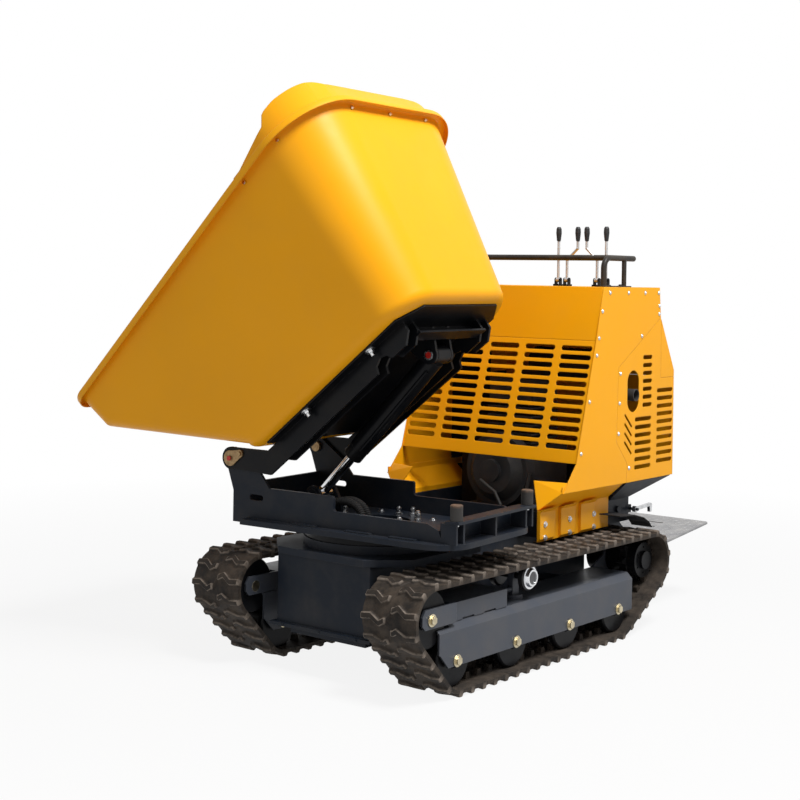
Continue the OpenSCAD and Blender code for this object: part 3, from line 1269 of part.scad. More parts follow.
module platform_latch() color(steel) machine() translate([latch_x, latch_y, latch_z]) difference() {
    union() {
        bar_x(-8, 8, 0, 0, latch_r + 7);
        across(-hook_r, hook_r) polygon([
            [0, -hook_r], hook[1] + [-2, -1] * hook_r, hook[2] + [-1, 0] * hook_r, hook[2] + [1, 0] * hook_r,
            hook[1] + [1, 0] * hook_r, hook[1] + [0, 1] * hook_r, [0, hook_r]]);
    }
    bar_x(-20, 20, 0, 0, latch_r + run_fit);
}

chassis_frame();
track_frame(1);  // track_frame_left
track_frame(-1);  // track_frame_right
idler_forks();
track_belt(1);  // track_belt_left
track_belt(-1);  // track_belt_right
track_axles();
drive_motors();
slew_ring_base();
sprocket(1);  // sprocket_left
sprocket(-1);  // sprocket_right
idler(1);  // idler_left
idler(-1);  // idler_right
carrier_roller(1);  // carrier_left
carrier_roller(-1);  // carrier_right
road_roller(1, 1);  // roller_left_1
road_roller(1, 2);  // roller_left_2
road_roller(1, 3);  // roller_left_3
road_roller(1, 4);  // roller_left_4
road_roller(-1, 1);  // roller_right_1
road_roller(-1, 2);  // roller_right_2
road_roller(-1, 3);  // roller_right_3
road_roller(-1, 4);  // roller_right_4
engine_deck();
deck_skirts();
engine_block();
hydraulic_pump();
tanks();
control_valve();
exhaust();
front_panel();
grille_panel();
console_top();
side_panel(1);  // side_panel_left
side_panel(-1);  // side_panel_right
rear_side(1);  // rear_side_left
rear_side(-1);  // rear_side_right
rear_hood();
rear_panel();
handrail();
panel_screws();
mud_guards();
turntable_tray();
slew_ring_top();
rubber_bumpers();
tray_hose();
tray_fittings();
hopper_tub();
spill_guard();
hopper_subframe();
pivot_pins();
hopper_bolts();
cylinder_barrel();
piston_rod();
lever(0);  // lever_1
lever(1);  // lever_2
lever(2);  // lever_3
lever(3);  // lever_4
standing_platform();
platform_latch();
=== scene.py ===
import json
import math

import bmesh
import bpy
import numpy as np
from mathutils import Matrix, Vector


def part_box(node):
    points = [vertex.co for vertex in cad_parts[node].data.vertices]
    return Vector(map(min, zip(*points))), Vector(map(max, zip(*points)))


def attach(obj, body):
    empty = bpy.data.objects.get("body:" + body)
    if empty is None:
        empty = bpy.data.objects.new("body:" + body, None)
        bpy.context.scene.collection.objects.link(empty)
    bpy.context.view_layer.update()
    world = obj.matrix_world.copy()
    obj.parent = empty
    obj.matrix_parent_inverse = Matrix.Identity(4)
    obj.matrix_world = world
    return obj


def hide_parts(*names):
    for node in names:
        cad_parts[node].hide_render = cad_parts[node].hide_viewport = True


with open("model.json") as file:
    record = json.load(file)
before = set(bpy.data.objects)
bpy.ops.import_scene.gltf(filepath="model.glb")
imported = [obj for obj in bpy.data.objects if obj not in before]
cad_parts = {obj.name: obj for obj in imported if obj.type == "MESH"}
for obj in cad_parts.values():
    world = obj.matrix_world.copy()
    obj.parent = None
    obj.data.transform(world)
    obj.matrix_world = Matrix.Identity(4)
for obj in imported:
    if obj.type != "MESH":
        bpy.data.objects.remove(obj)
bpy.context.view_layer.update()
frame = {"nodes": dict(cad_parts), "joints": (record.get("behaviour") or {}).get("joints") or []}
nodes = frame["nodes"]
joints = {j["name"]: j for j in frame["joints"]}

# Machine axes start on the slew axis at ground level: +X left side, +Y rear, +Z up
slewAt = np.array(joints["slew"]["pos_m"]) * [1, 1, 0]
tipAt = np.array(joints["tip"]["pos_m"])
tableX = np.array(joints["tip"]["axis"], float)
tableX /= np.linalg.norm(tableX)
up = np.array([0.0, 0.0, 1.0])
tableY = np.cross(up, tableX)
tipRest = math.radians(-joints["tip"]["range_deg"][0])
hopperY = math.cos(tipRest) * tableY + math.sin(tipRest) * up
hopperZ = np.cross(tableX, hopperY)


def onMachine(p):
    # machine point: shifted by the slew axis
    return np.asarray(p, float) + slewAt


def onTable(p):
    # turntable point: along its cross axis, its long axis and up, from the slew axis
    p = np.asarray(p, float)
    return slewAt + p[..., 0:1] * tableX + p[..., 1:2] * tableY + p[..., 2:3] * up


def onHopper(p):
    # hopper point: the same from the tip hinge, in the hopper's own tilted axes
    p = np.asarray(p, float)
    return tipAt + p[..., 0:1] * tableX + p[..., 1:2] * hopperY + p[..., 2:3] * hopperZ


# Meshes from arrays

def putMesh(name, points, faces, material, body, smoothAngle=40, merge=0.0):
    # one piece from points and faces: doubles merged, faces turned outwards, edges past the angle kept sharp
    mesh = bpy.data.meshes.new(name)
    mesh.from_pydata(np.asarray(points).reshape(-1, 3).tolist(), [], faces)
    work = bmesh.new()
    work.from_mesh(mesh)
    if merge:
        bmesh.ops.remove_doubles(work, verts=work.verts, dist=merge)
    bmesh.ops.recalc_face_normals(work, faces=work.faces)
    work.to_mesh(mesh)
    work.free()
    mesh.polygons.foreach_set("use_smooth", np.ones(len(mesh.polygons), bool))
    mesh.set_sharp_from_angle(angle=math.radians(smoothAngle))
    mesh.materials.append(material)
    piece = bpy.data.objects.new(name, mesh)
    bpy.context.scene.collection.objects.link(piece)
    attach(piece, body)
    return piece


def gridFaces(rows, columns, closeRows=False, closeColumns=False, start=0):
    # quads between neighbouring points of a rows by columns grid
    i = np.arange(rows if closeRows else rows - 1)
    j = np.arange(columns if closeColumns else columns - 1)
    a, b = np.meshgrid(i, j, indexing="ij")
    nextA, nextB = (a + 1) % rows, (b + 1) % columns
    quads = np.stack([a * columns + b, a * columns + nextB, nextA * columns + nextB, nextA * columns + b], -1)
    return (quads.reshape(-1, 4) + start).tolist()


def endFaces(rows, columns, start=0):
    # one polygon on each end of a tube of rows rings
    first = list(range(start, start + columns))
    last = list(range(start + (rows - 1) * columns, start + rows * columns))
    return [first[::-1], last]


# Shader maths

class Value:
    # wraps a socket so that sums and products of values add Math nodes
    def __init__(self, maker, socket):
        self.maker, self.socket = maker, socket

    def maths(self, operation, *others):
        return self.maker.node("Math", {"operation": operation}, [self, *others])

    def __add__(self, other): return self.maths("ADD", other)
    def __radd__(self, other): return self.maths("ADD", other)
    def __sub__(self, other): return self.maths("SUBTRACT", other)
    def __rsub__(self, other): return (self * -1.0) + other
    def __mul__(self, other): return self.maths("MULTIPLY", other)
    def __rmul__(self, other): return self.maths("MULTIPLY", other)
    def __truediv__(self, other): return self.maths("DIVIDE", other)
    def fraction(self): return self.maths("FRACT")
    def size(self): return self.maths("ABSOLUTE")
    def power(self, n): return self.maths("POWER", n)
    def least(self, other): return self.maths("MINIMUM", other)
    def most(self, other): return self.maths("MAXIMUM", other)

    def above(self, edge, soft):
        # 0 below the edge, 1 above it, with a soft step between
        ends = {"Value": self, "From Min": edge - soft, "From Max": edge + soft}
        return self.maker.node("MapRange", {"clamp": True}, ends)


class Finish:
    # one material: a Principled shader and the nodes that feed it
    def __init__(self, name, **settings):
        self.material = bpy.data.materials.new(name)
        self.material.use_nodes = True
        self.tree = self.material.node_tree
        self.tree.nodes.clear()
        self.shader = self.tree.nodes.new("ShaderNodeBsdfPrincipled")
        self.output = self.tree.nodes.new("ShaderNodeOutputMaterial")
        self.tree.links.new(self.shader.outputs[0], self.output.inputs[0])
        self.place = None
        self.set(**settings)

    def node(self, kind, settings=None, sockets=None, out=0):
        made = self.tree.nodes.new("ShaderNode" + kind)
        for key, value in (settings or {}).items():
            setattr(made, key, value)
        pairs = sockets.items() if isinstance(sockets, dict) else enumerate(sockets or [])
        for key, value in pairs:
            self.link(made.inputs[key], value)
        return Value(self, made.outputs[out])

    def link(self, socket, value):
        if isinstance(value, Value):
            self.tree.links.new(value.socket, socket)
        else:
            socket.default_value = value

    def set(self, **settings):
        for key, value in settings.items():
            words = "".join(" " + c if c.isupper() else c for c in key).title().replace("Ior", "IOR")
            self.link(self.shader.inputs[words], value)

    def coords(self):
        if self.place is None:
            self.place = self.node("TexCoord", out=3)
        return self.place

    def axis(self, index):
        return self.node("SeparateXYZ", sockets=[self.coords()], out=index)

    def noise(self, scale, detail=3.0, roughness=0.55, stretch=None):
        place = self.coords()
        if stretch:
            place = self.node("Mapping", sockets={"Vector": place, "Scale": stretch})
        sockets = {"Vector": place, "Scale": scale, "Detail": detail, "Roughness": roughness}
        return self.node("TexNoise", sockets=sockets)

    def mix(self, amount, low, high):
        made = self.tree.nodes.new("ShaderNodeMix")
        made.data_type = "RGBA"
        for socket, value in zip((made.inputs[0], made.inputs[6], made.inputs[7]), (amount, low, high)):
            self.link(socket, value if isinstance(value, (Value, float)) else (*value[:3], 1))
        return Value(self, made.outputs[2])

    def bump(self, height, strength, distance, normal=None):
        sockets = {"Height": height, "Strength": strength, "Distance": distance}
        if normal is not None:
            sockets["Normal"] = normal
        return self.node("Bump", sockets=sockets)

    def soften(self, radius):
        # rounds the look of sharp sheet and plate edges
        return self.node("Bevel", {"samples": 4}, {"Radius": radius})

    def reach(self, point, along):
        # distances from a line through a point: along the line, and square of the distance off it
        away = self.node("VectorMath", {"operation": "SUBTRACT"}, [self.coords(), tuple(point)])
        onLine = self.node("VectorMath", {"operation": "DOT_PRODUCT"}, [away, tuple(along)], out=1)
        full = self.node("VectorMath", {"operation": "LENGTH"}, [away], out=1)
        return onLine, full * full - onLine * onLine

    def edges(self, radius):
        # 1 along sharp edges, 0 on flat faces: how far the rounded normal leaves the true one
        rounded = self.soften(radius)
        true = self.node("NewGeometry", out=1)
        along = self.node("VectorMath", {"operation": "DOT_PRODUCT"}, [rounded, true], out=1)
        return ((1 - along) * 6).least(1.0)


# Noise scales, in waves to a metre
paintScale = {"drift": 2.3, "cloud": 9, "rub": 55, "gloss": 26, "sheet": 3.2, "peel": 420}
plateScale = {"stain": 38, "gloss": 160, "grain": 600}
rubberScale = {"dust": 14, "pebble": 130}

# Colours that more than one finish wears
zincColour = (0.62, 0.63, 0.64)
redCap = (0.5, 0.018, 0.012)


def painted(name, colour, dust, wear, rough=0.32, coat=0.2, gloss=0.3, dustTint=(0.2, 0.165, 0.12),
            edge=0.0025, wearAmount=0.35, wavy=0.0, coatRough=0.1, p=paintScale):
    # sprayed paint: slow colour drift, fine orange peel, dust in a cloudy veil, rubbed edges and a wavy sheet
    f = Finish(name, specularIorLevel=gloss, coatRoughness=coatRough, metallic=0.0)
    drift = f.noise(p["drift"], 2)
    cloud = f.noise(p["cloud"], 5).above(0.55, 0.16)
    body = f.mix(drift, [c * 0.93 for c in colour], [min(1, c * 1.06) for c in colour])
    body = f.mix(cloud * dust, body, dustTint)
    rub = f.edges(edge * 1.6) * f.noise(p["rub"], 3).above(0.47, 0.12) * wearAmount
    f.set(baseColor=f.mix(rub, body, wear), coatWeight=(1 - cloud * dust) * coat,
          roughness=f.noise(p["gloss"], 3) * 0.14 + (rough - 0.07) + cloud * (dust * 0.5))
    normal = f.soften(edge)
    if wavy:
        normal = f.bump(f.noise(p["sheet"], 1), 1.0, wavy, normal)
    f.set(normal=f.bump(f.noise(p["peel"], 2), 0.06, 0.0006, normal))
    return f.material


def plated(name, colour, rough, stain, edge=0.0012, p=plateScale):
    # zinc or chrome plate: fine grain in the gloss and faint darker stains
    f = Finish(name, metallic=1.0, specularIorLevel=0.5)
    cloud = f.noise(p["stain"], 4).above(0.56, 0.14)
    f.set(baseColor=f.mix(cloud * 0.55, colour, stain), roughness=f.noise(p["gloss"], 3) * 0.16 + rough)
    f.set(normal=f.bump(f.noise(p["grain"], 2), 0.05, 0.0004, f.soften(edge)))
    return f.material


def dullRubber(name, colour, dust, amount, edge=0.002, p=rubberScale):
    # rubber: chalky dust in a cloudy layer, fine pebble bump
    f = Finish(name, specularIorLevel=0.22)
    cloud = f.noise(p["dust"], 6, 0.65).above(0.5, 0.18)
    fine = f.noise(p["pebble"], 4)
    body = f.mix(fine, [c * 0.75 for c in colour], [c * 1.3 for c in colour])
    f.set(baseColor=f.mix(cloud * amount, body, dust), roughness=fine * 0.2 + 0.66)
    f.set(normal=f.bump(fine, 0.25, 0.0012, f.soften(edge)))
    return f.material


finishes = {
    "yellow": painted("yellowPaint", (0.93, 0.4, 0.004), 0.03, (0.6, 0.32, 0.05), rough=0.42, coat=0.12,
                      gloss=0.14, edge=0.005, wearAmount=0.12, wavy=0.004, coatRough=0.3),
    "navy": painted("navyPaint", (0.0105, 0.0145, 0.0225), 0.08, (0.07, 0.075, 0.08), rough=0.4, coat=0.03,
                    gloss=0.11),
    "slate": painted("slatePaint", (0.056, 0.063, 0.079), 0.12, (0.16, 0.16, 0.16), rough=0.36, coat=0.06,
                     gloss=0.2),
    "rail": painted("railPaint", (0.02, 0.0175, 0.0155), 0.18, (0.07, 0.06, 0.05), rough=0.42, coat=0.0,
                    gloss=0.2),
    "black": painted("blackPaint", (0.0045, 0.005, 0.0065), 0.03, (0.045, 0.045, 0.045), rough=0.34,
                     coat=0.03, gloss=0.1),
    "darkMetal": painted("darkMetal", (0.022, 0.022, 0.023), 0.12, (0.12, 0.115, 0.11), rough=0.5, coat=0.0),
    "castMetal": painted("castMetal", (0.034, 0.034, 0.036), 0.2, (0.15, 0.15, 0.15), rough=0.55, coat=0.0),
    "plastic": dullRubber("blackPlastic", (0.011, 0.011, 0.012), (0.05, 0.046, 0.042), 0.3),
    "zinc": plated("brightZinc", zincColour, 0.2, (0.33, 0.33, 0.33)),
    "paleGold": plated("paleGoldZinc", (0.6, 0.53, 0.37), 0.24, (0.3, 0.25, 0.16)),
    "chrome": plated("hardChrome", (0.74, 0.75, 0.77), 0.07, (0.5, 0.5, 0.5)),
}
print("finishes:", len(finishes))


leverLook = {"gripHeight": 0.0615, "step": 0.0004}


def leverFinish(look=leverLook):
    # bright rod below, black grip above the height where the knob starts
    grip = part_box("lever_1")[1].z - look["gripHeight"]
    f = Finish("leverRodAndGrip", specularIorLevel=0.5)
    knob = f.axis(2).above(grip, look["step"])
    grain = f.noise(150, 3)
    f.set(baseColor=f.mix(knob, (0.55, 0.55, 0.55), (0.007, 0.007, 0.0075)), metallic=(1 - knob) * 0.6,
          roughness=grain * 0.15 + 0.26 + knob * 0.2)
    f.set(normal=f.bump(grain, 0.1, 0.0005, f.soften(0.001)))
    return f.material


bumperLook = {"nutHeight": 0.011, "step": 0.0004, "wornTop": 0.006}


def bumperFinish(look=bumperLook):
    # rubber post, rust brown on its worn top; the nut under the bar is bright
    low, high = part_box("rubber_bumpers")
    f = Finish("bumperAndNut", specularIorLevel=0.4)
    z = f.axis(2)
    nut = 1 - z.above(low.z + look["nutHeight"], look["step"])
    top = z.above(high.z - look["wornTop"], 0.005) * f.noise(60, 5).above(0.42, 0.15)
    grain = f.noise(110, 4)
    rubber = f.mix(grain, (0.014, 0.013, 0.012), (0.034, 0.03, 0.027))
    f.set(baseColor=f.mix(nut, f.mix(top, rubber, (0.13, 0.075, 0.045)), zincColour), metallic=nut,
          roughness=grain * 0.2 + 0.62 - nut * 0.38)
    f.set(normal=f.bump(grain, 0.3, 0.001, f.soften(0.002)))
    return f.material


keeperLook = {"capDepth": 0.0055, "capRadius": 0.0092, "step": 0.0003}


def keeperFinish(look=keeperLook):
    # bronze keeper plates on the hinge pins, with a red cap over each grease point
    f = Finish("bronzeKeeper", specularIorLevel=0.5)
    along, off = f.reach(tipAt, tableX)
    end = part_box("pivot_pins")[1].y - tipAt[1] - look["capDepth"]
    cap = along.size().above(end, look["step"]) * (1 - off.above(look["capRadius"] ** 2, 0.000004))
    cloud = f.noise(70, 4).above(0.5, 0.2)
    f.set(baseColor=f.mix(cap, f.mix(cloud, (0.34, 0.235, 0.12), (0.2, 0.125, 0.06)), redCap),
          metallic=(1 - cap) * 0.8, roughness=f.noise(120, 3) * 0.2 + 0.32)
    f.set(normal=f.bump(f.noise(240, 3), 0.15, 0.0006, f.soften(0.0015)))
    return f.material


carrierLook = {"capDepth": 0.0125, "dishRadius": 0.0236, "step": 0.0003}


def carrierFinish(name, side, look=carrierLook):
    # black roller body; the cap on its outer end is bright, with a dark dish in the middle
    low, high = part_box(name)
    outer = high.x if side > 0 else -low.x
    centre = np.array(joints[name + "_spin"]["pos_m"])
    f = Finish(name + "Finish", specularIorLevel=0.4)
    off = f.reach(centre, (1, 0, 0))[1]
    cap = (f.axis(0) * side).above(outer - look["capDepth"], look["step"])
    dish = 1 - off.above(look["dishRadius"] ** 2, 0.00002)
    bright = cap * (1 - dish)
    grain = f.noise(160, 3)
    f.set(baseColor=f.mix(bright, f.mix(cap, (0.012, 0.012, 0.013), (0.11, 0.11, 0.115)), (0.72, 0.73, 0.75)),
          metallic=bright * 0.5 + cap * 0.5, roughness=grain * 0.12 + 0.34 - bright * 0.22)
    f.set(normal=f.bump(grain, 0.06, 0.0004, f.soften(0.0015)))
    return f.material


headPin = {"y": 0.824, "z": -0.152, "half": 0.055, "cap": 0.012, "step": 0.0003}


def boltFinish(pin=headPin):
    # bright studs and screws on the hopper; the end of the cylinder's head pin wears a red cap
    f = Finish("hopperBolts", specularIorLevel=0.5)
    along, off = f.reach(onHopper([[0, pin["y"], pin["z"]]])[0], tableX)
    cap = along.size().above(pin["half"], pin["step"]) * (1 - off.above(pin["cap"] ** 2, 0.000004))
    grain = f.noise(160, 3)
    f.set(baseColor=f.mix(cap, f.mix(grain, (0.5, 0.51, 0.52), (0.68, 0.69, 0.7)), redCap),
          metallic=1 - cap, roughness=grain * 0.16 + 0.2)
    f.set(normal=f.bump(grain, 0.06, 0.0004, f.soften(0.0012)))
    return f.material


checkerLook = {"cell": 0.03, "long": 0.46, "short": 0.13, "diagonal": 0.7071}


def checkerFinish(look=checkerLook):
    # tread plate: raised lozenges that turn by a right angle from one cell to the next
    low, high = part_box("standing_platform")
    cell = look["cell"]
    f = Finish("checkerPlate", metallic=0.75, specularIorLevel=0.5)
    u, v = f.axis(0) / cell, f.axis(1) / cell
    column, row = u.maths("FLOOR"), v.maths("FLOOR")
    x, y = u - column - 0.5, v - row - 0.5
    turn = ((column + row) * 0.5).fraction() * 4 - 1
    a, b = (x + y * turn) * look["diagonal"], (y - x * turn) * look["diagonal"]
    lozenge = 1 - ((a / look["long"]).power(2) + (b / look["short"]).power(2)).above(1.0, 0.35)
    cloud = f.noise(12, 5).above(0.5, 0.2)
    f.set(baseColor=f.mix(cloud * 0.5 + lozenge * 0.2, (0.25, 0.25, 0.26), (0.5, 0.49, 0.47)),
          roughness=f.noise(90, 3) * 0.25 + 0.3)
    f.set(normal=f.bump(lozenge, 0.8, 0.0018, f.soften(0.0015)))
    return f.material


wears = {
    "yellow": ["deck_skirts", "front_panel", "grille_panel", "console_top", "side_panel_left",
               "side_panel_right", "rear_side_left", "rear_side_right", "rear_hood", "rear_panel",
               "hopper_tub", "spill_guard"],
    "navy": ["chassis_frame", "slew_ring_base", "turntable_tray", "engine_deck"],
    "slate": ["track_frame_left", "track_frame_right", "idler_forks"],
    "rail": ["handrail"],
    "black": ["hopper_subframe", "cylinder_barrel", "control_valve", "drive_motors", "slew_ring_top",
              "sprocket_left", "sprocket_right"],
    "darkMetal": ["exhaust", "hydraulic_pump"],
    "castMetal": ["engine_block"],
    "plastic": ["tanks", "mud_guards", "tray_hose", "track_belt_left", "track_belt_right"],
    "zinc": ["panel_screws", "tray_fittings", "platform_latch"],
    "paleGold": ["track_axles"],
    "chrome": ["piston_rod"],
}
nodeFinish = {n: finishes[k] for k, names in wears.items() for n in names}
nodeFinish.update({n: finishes["black"] for n in nodes if n.startswith(("roller_", "idler_l", "idler_r"))})
levers = leverFinish()
nodeFinish.update({n: levers for n in nodes if n.startswith("lever_")})
nodeFinish["rubber_bumpers"] = bumperFinish()
nodeFinish["standing_platform"] = checkerFinish()
nodeFinish["pivot_pins"] = keeperFinish()
nodeFinish["hopper_bolts"] = boltFinish()
nodeFinish["carrier_left"] = carrierFinish("carrier_left", 1)
nodeFinish["carrier_right"] = carrierFinish("carrier_right", -1)
for name, node in nodes.items():
    node.data.materials.clear()
    node.data.materials.append(nodeFinish[name])
print("dressed:", len(nodeFinish), "of", len(nodes))

# Hopper: one skin from the floor's outside, up the wall, over the rolled rim and down the inside
tub = {
    "floorFront": 0.172, "floorRear": 1.060, "floorHalf": 0.366, "floorZ": -0.073, "floorRound": 0.042,
    "baseRise": 0.038, "baseFront": 0.147, "baseRear": 1.068, "baseHalf": 0.372,
    "lipY": -0.332, "lipZ": 0.394, "lipAt": 0.745,
    "rimFront": (-0.354, 0.541), "rimRear": (1.211, 0.695), "rimFrontHalf": 0.478, "rimRearHalf": 0.497,
    "frontRound": 0.060, "baseRound": 0.170, "rearRound": 0.245, "wall": 0.005, "flange": 0.020,
    "flangeRear": 0.034, "drop": 0.026, "cornerSteps": 20, "wallLevels": 14, "floorSteps": 7,
}


def ringOf(front, rear, frontHalf, rearHalf, rearRound, grow, rearGrow, lift, t=tub):
    # four corner arcs in the plane through the front and rear points, grown outwards and lifted off it
    front, rear = np.array(front), np.array(rear)
    run = rear - front
    length = np.linalg.norm(run)
    along, across = run / length, np.array([-run[1], run[0]]) / length
    turn = np.linspace(0, math.pi / 2, t["cornerSteps"])
    corners = [(rearHalf - rearRound, length - rearRound, rearRound + rearGrow, 0),
               (rearRound - rearHalf, length - rearRound, rearRound + rearGrow, 1),
               (t["frontRound"] - frontHalf, t["frontRound"], t["frontRound"] + grow, 2),
               (frontHalf - t["frontRound"], t["frontRound"], t["frontRound"] + grow, 3)]
    x = np.concatenate([cx + r * np.cos(turn + q * math.pi / 2) for cx, cy, r, q in corners])
    y = np.concatenate([cy + r * np.sin(turn + q * math.pi / 2) for cx, cy, r, q in corners])
    yz = front + y[:, None] * along + lift * across
    return np.stack([x, yz[:, 0], yz[:, 1]], 1)


def tubLevel(s, grow, rearGrow, lift=0.0, t=tub):
    # ring at height share s of the wall: the front edge bends at the foot of the lip's upright band
    rear = np.array([t["baseRear"], t["floorZ"] + t["baseRise"]]) * (1 - s) + np.array(t["rimRear"]) * s
    knots = np.array([0, t["lipAt"], 1])
    front = [np.interp(s, knots, [t["baseFront"], t["lipY"], t["rimFront"][0]]),
             np.interp(s, knots, [t["floorZ"] + t["baseRise"], t["lipZ"], t["rimFront"][1]])]
    return ringOf(front, rear, np.interp(s, [0, 1], [t["baseHalf"], t["rimFrontHalf"]]),
                  np.interp(s, [0, 1], [t["baseHalf"], t["rimRearHalf"]]),
                  np.interp(s, [0, 1], [t["baseRound"], t["rearRound"]]), grow, rearGrow, lift)


def floorLevel(turn, grow, t=tub):
    # ring on the floor's rounded edge, from flat underneath to upright
    inset = t["floorRound"] * (1 - math.sin(turn))
    z = t["floorZ"] + t["baseRise"] * (1 - math.cos(turn))
    share = math.sin(turn)
    front = np.interp(share, [0, 1], [t["floorFront"], t["baseFront"]])
    rear = np.interp(share, [0, 1], [t["floorRear"], t["baseRear"]])
    width = np.interp(share, [0, 1], [t["floorHalf"], t["baseHalf"]])
    grown = grow - inset
    return ringOf((front, z - grow), (rear, z - grow), width, width, t["baseRound"], grown, grown, 0)


def rimSteps(lip, wall, drop):
    # rolled rim, as steps of outward growth and lift in the rim's plane
    return [(0.001, -0.006), (0.004, -0.0035), (lip - 0.006, -0.0035), (lip - 0.0045, -0.005),
            (lip - 0.0045, -drop), (lip - 0.003, -drop - 0.0012), (lip - 0.001, -drop), (lip, -0.007),
            (lip - 0.002, -0.001), (lip - 0.006, 0.001), (-wall + 0.003, 0.001), (-wall + 0.0008, 0.0),
            (-wall, -0.003)]


def makeTub(t=tub):
    # rings from the middle of the floor outwards, up the wall, over the rim and back down the inside
    wall, lip = t["wall"], t["lipAt"]
    middle = np.array([[0, (t["floorFront"] + t["floorRear"]) / 2, t["floorZ"]]])
    heights = np.concatenate([np.linspace(0, lip - 0.02, t["wallLevels"]), [lip - 0.006, lip + 0.006],
                              np.linspace(lip + 0.03, 0.985, 6)])
    edge = np.linspace(0, math.pi / 2, t["floorSteps"])
    rows = [np.repeat(middle, 4 * t["cornerSteps"], 0)]
    rows += [floorLevel(a, 0) for a in edge[:-1]] + [tubLevel(s, 0, 0) for s in heights]
    front, rear = rimSteps(t["flange"], wall, t["drop"]), rimSteps(t["flangeRear"], wall, t["drop"])
    rows += [tubLevel(1, grow, rearGrow, lift) for (grow, lift), (rearGrow, _) in zip(front, rear)]
    rows += [tubLevel(s, -wall, -wall) for s in heights[::-1]]
    rows += [floorLevel(a, -wall) for a in edge[:-1][::-1]]
    rows += [np.repeat(middle + [0, 0, wall], 4 * t["cornerSteps"], 0)]
    grid = np.array(rows)
    piece = putMesh("hopperShell", onHopper(grid), gridFaces(len(rows), grid.shape[1], closeColumns=True),
                    finishes["yellow"], "hopper", 32, 1e-5)
    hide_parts("hopper_tub")


# Spill guard: a folded sheet on the rim's flange, tall at the rear left corner and falling away to the right
guard = {
    "length": 0.405, "foot": 0.024, "half": 0.002, "footRound": 0.0006, "topRound": 0.0012,
    "side": [(0.0, 0.014), (0.006, 0.016), (0.198, 0.058), (0.206, 0.064), (0.212, 0.074), (0.218, 0.085),
             (0.226, 0.093), (0.238, 0.099), (0.283, 0.110), (0.345, 0.115), (0.45, 0.117)],
    "back": [(-0.51, 0.014), (-0.47, 0.018), (-0.43, 0.034), (-0.385, 0.054), (-0.338, 0.07), (-0.27, 0.081),
             (-0.194, 0.087), (0.26, 0.088), (0.294, 0.091), (0.316, 0.099), (0.338, 0.108), (0.37, 0.115),
             (0.42, 0.117), (0.51, 0.117)],
    "foldOut": (0.011, 0.0068, 0.0042, 0.0026),
    "foldUp": (0.0012, 0.0045, 0.005, 0.005, 0.0058, 0.0078, 0.0108, 0.0135),
    "sideSteps": 44, "cornerSteps": 30, "rearSteps": 26,
}


def makeGuard(g=guard, t=tub):
    # a folded section is carried along the rim: its height is the lesser of the side and the back view's
    front, rear = np.array(t["rimFront"]), np.array(t["rimRear"])
    length = np.linalg.norm(rear - front)
    along = (rear - front) / length
    across = np.array([-along[1], along[0]])
    half, r = t["rimRearHalf"], t["rearRound"]
    start = length - g["length"]
    sideV = np.linspace(start, length - r, g["sideSteps"], endpoint=False)
    turn = np.linspace(0, math.pi / 2, g["cornerSteps"])
    rearX = np.linspace(half - r, r - half, g["rearSteps"])[1:-1]
    one = np.ones(len(sideV))
    zero = np.zeros(len(sideV))
    cosine, sine = np.cos(turn), np.sin(turn)
    x = np.concatenate([half * one, half - r + r * cosine, rearX, r - half - r * sine, -half * one])
    v = np.concatenate([sideV, length - r + r * sine, np.full(len(rearX), length), length - r + r * cosine,
                        sideV[::-1]])
    outX = np.concatenate([one, cosine, np.zeros(len(rearX)), -sine, -one])
    outV = np.concatenate([zero, sine, np.ones(len(rearX)), cosine, zero])
    high = np.minimum(np.interp(v - start, *zip(*g["side"])), np.interp(x, *zip(*g["back"])))[:, None]
    # section: foot, fold, wall and rounded top edge, as outward offsets and heights
    thick, foot = g["half"], g["foot"]
    offset = np.array([foot, foot, foot - g["footRound"], *g["foldOut"], thick, thick, thick * 0.5,
                       -thick * 0.5, -thick, -thick])
    low = np.array(g["foldUp"])
    top = np.array([-g["topRound"], 0.0, 0.0, -g["topRound"]])
    lowest = np.full((len(x), 1), low[0])
    height = np.concatenate([np.broadcast_to(low, (len(x), len(low))), high + top, lowest], 1)
    height = np.minimum(height, high)
    px = x[:, None] + outX[:, None] * offset
    pv = v[:, None] + outV[:, None] * offset
    yz = front + pv[..., None] * along + height[..., None] * across
    points = np.concatenate([px[..., None], yz], -1)
    faces = gridFaces(len(x), len(offset), closeColumns=True) + endFaces(len(x), len(offset))
    piece = putMesh("guardSheet", onHopper(points), faces, finishes["yellow"], "hopper", 40)
    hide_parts("spill_guard")


makeTub()
makeGuard()
print("hopper shell and guard")

# Corrugated hoses: rings whose radius swells at each rib, carried along the same route as their solid
hose = {"radius": 0.015, "rib": 0.003, "ribs": 52, "sides": 20, "xs": (0.076, 0.109), "deckTop": 0.525,
        "ribSteps": 8, "route": [(22, -34), (22, -6), (16, 30), (-6, 60), (-50, 76), (-104, 70), (-150, 52),
                                 (-186, 36), (-214, 26), (-238, 25), (-262, 25)]}


def curveThrough(points, count):
    # smooth curve through the route's points (each stretch a cubic with the chord of its neighbours as slope)
    points = np.asarray(points, float)
    u = np.linspace(0, len(points) - 1, count)
    i = np.minimum(u.astype(int), len(points) - 2)
    t = (u - i)[:, None]
    p, q = points[np.maximum(i - 1, 0)], points[i]
    r, s = points[i + 1], points[np.minimum(i + 2, len(points) - 1)]
    bend, twist = 2 * p - 5 * q + 4 * r - s, 3 * q - p - 3 * r + s
    return 0.5 * (2 * q + (r - p) * t + bend * t ** 2 + twist * t ** 3)


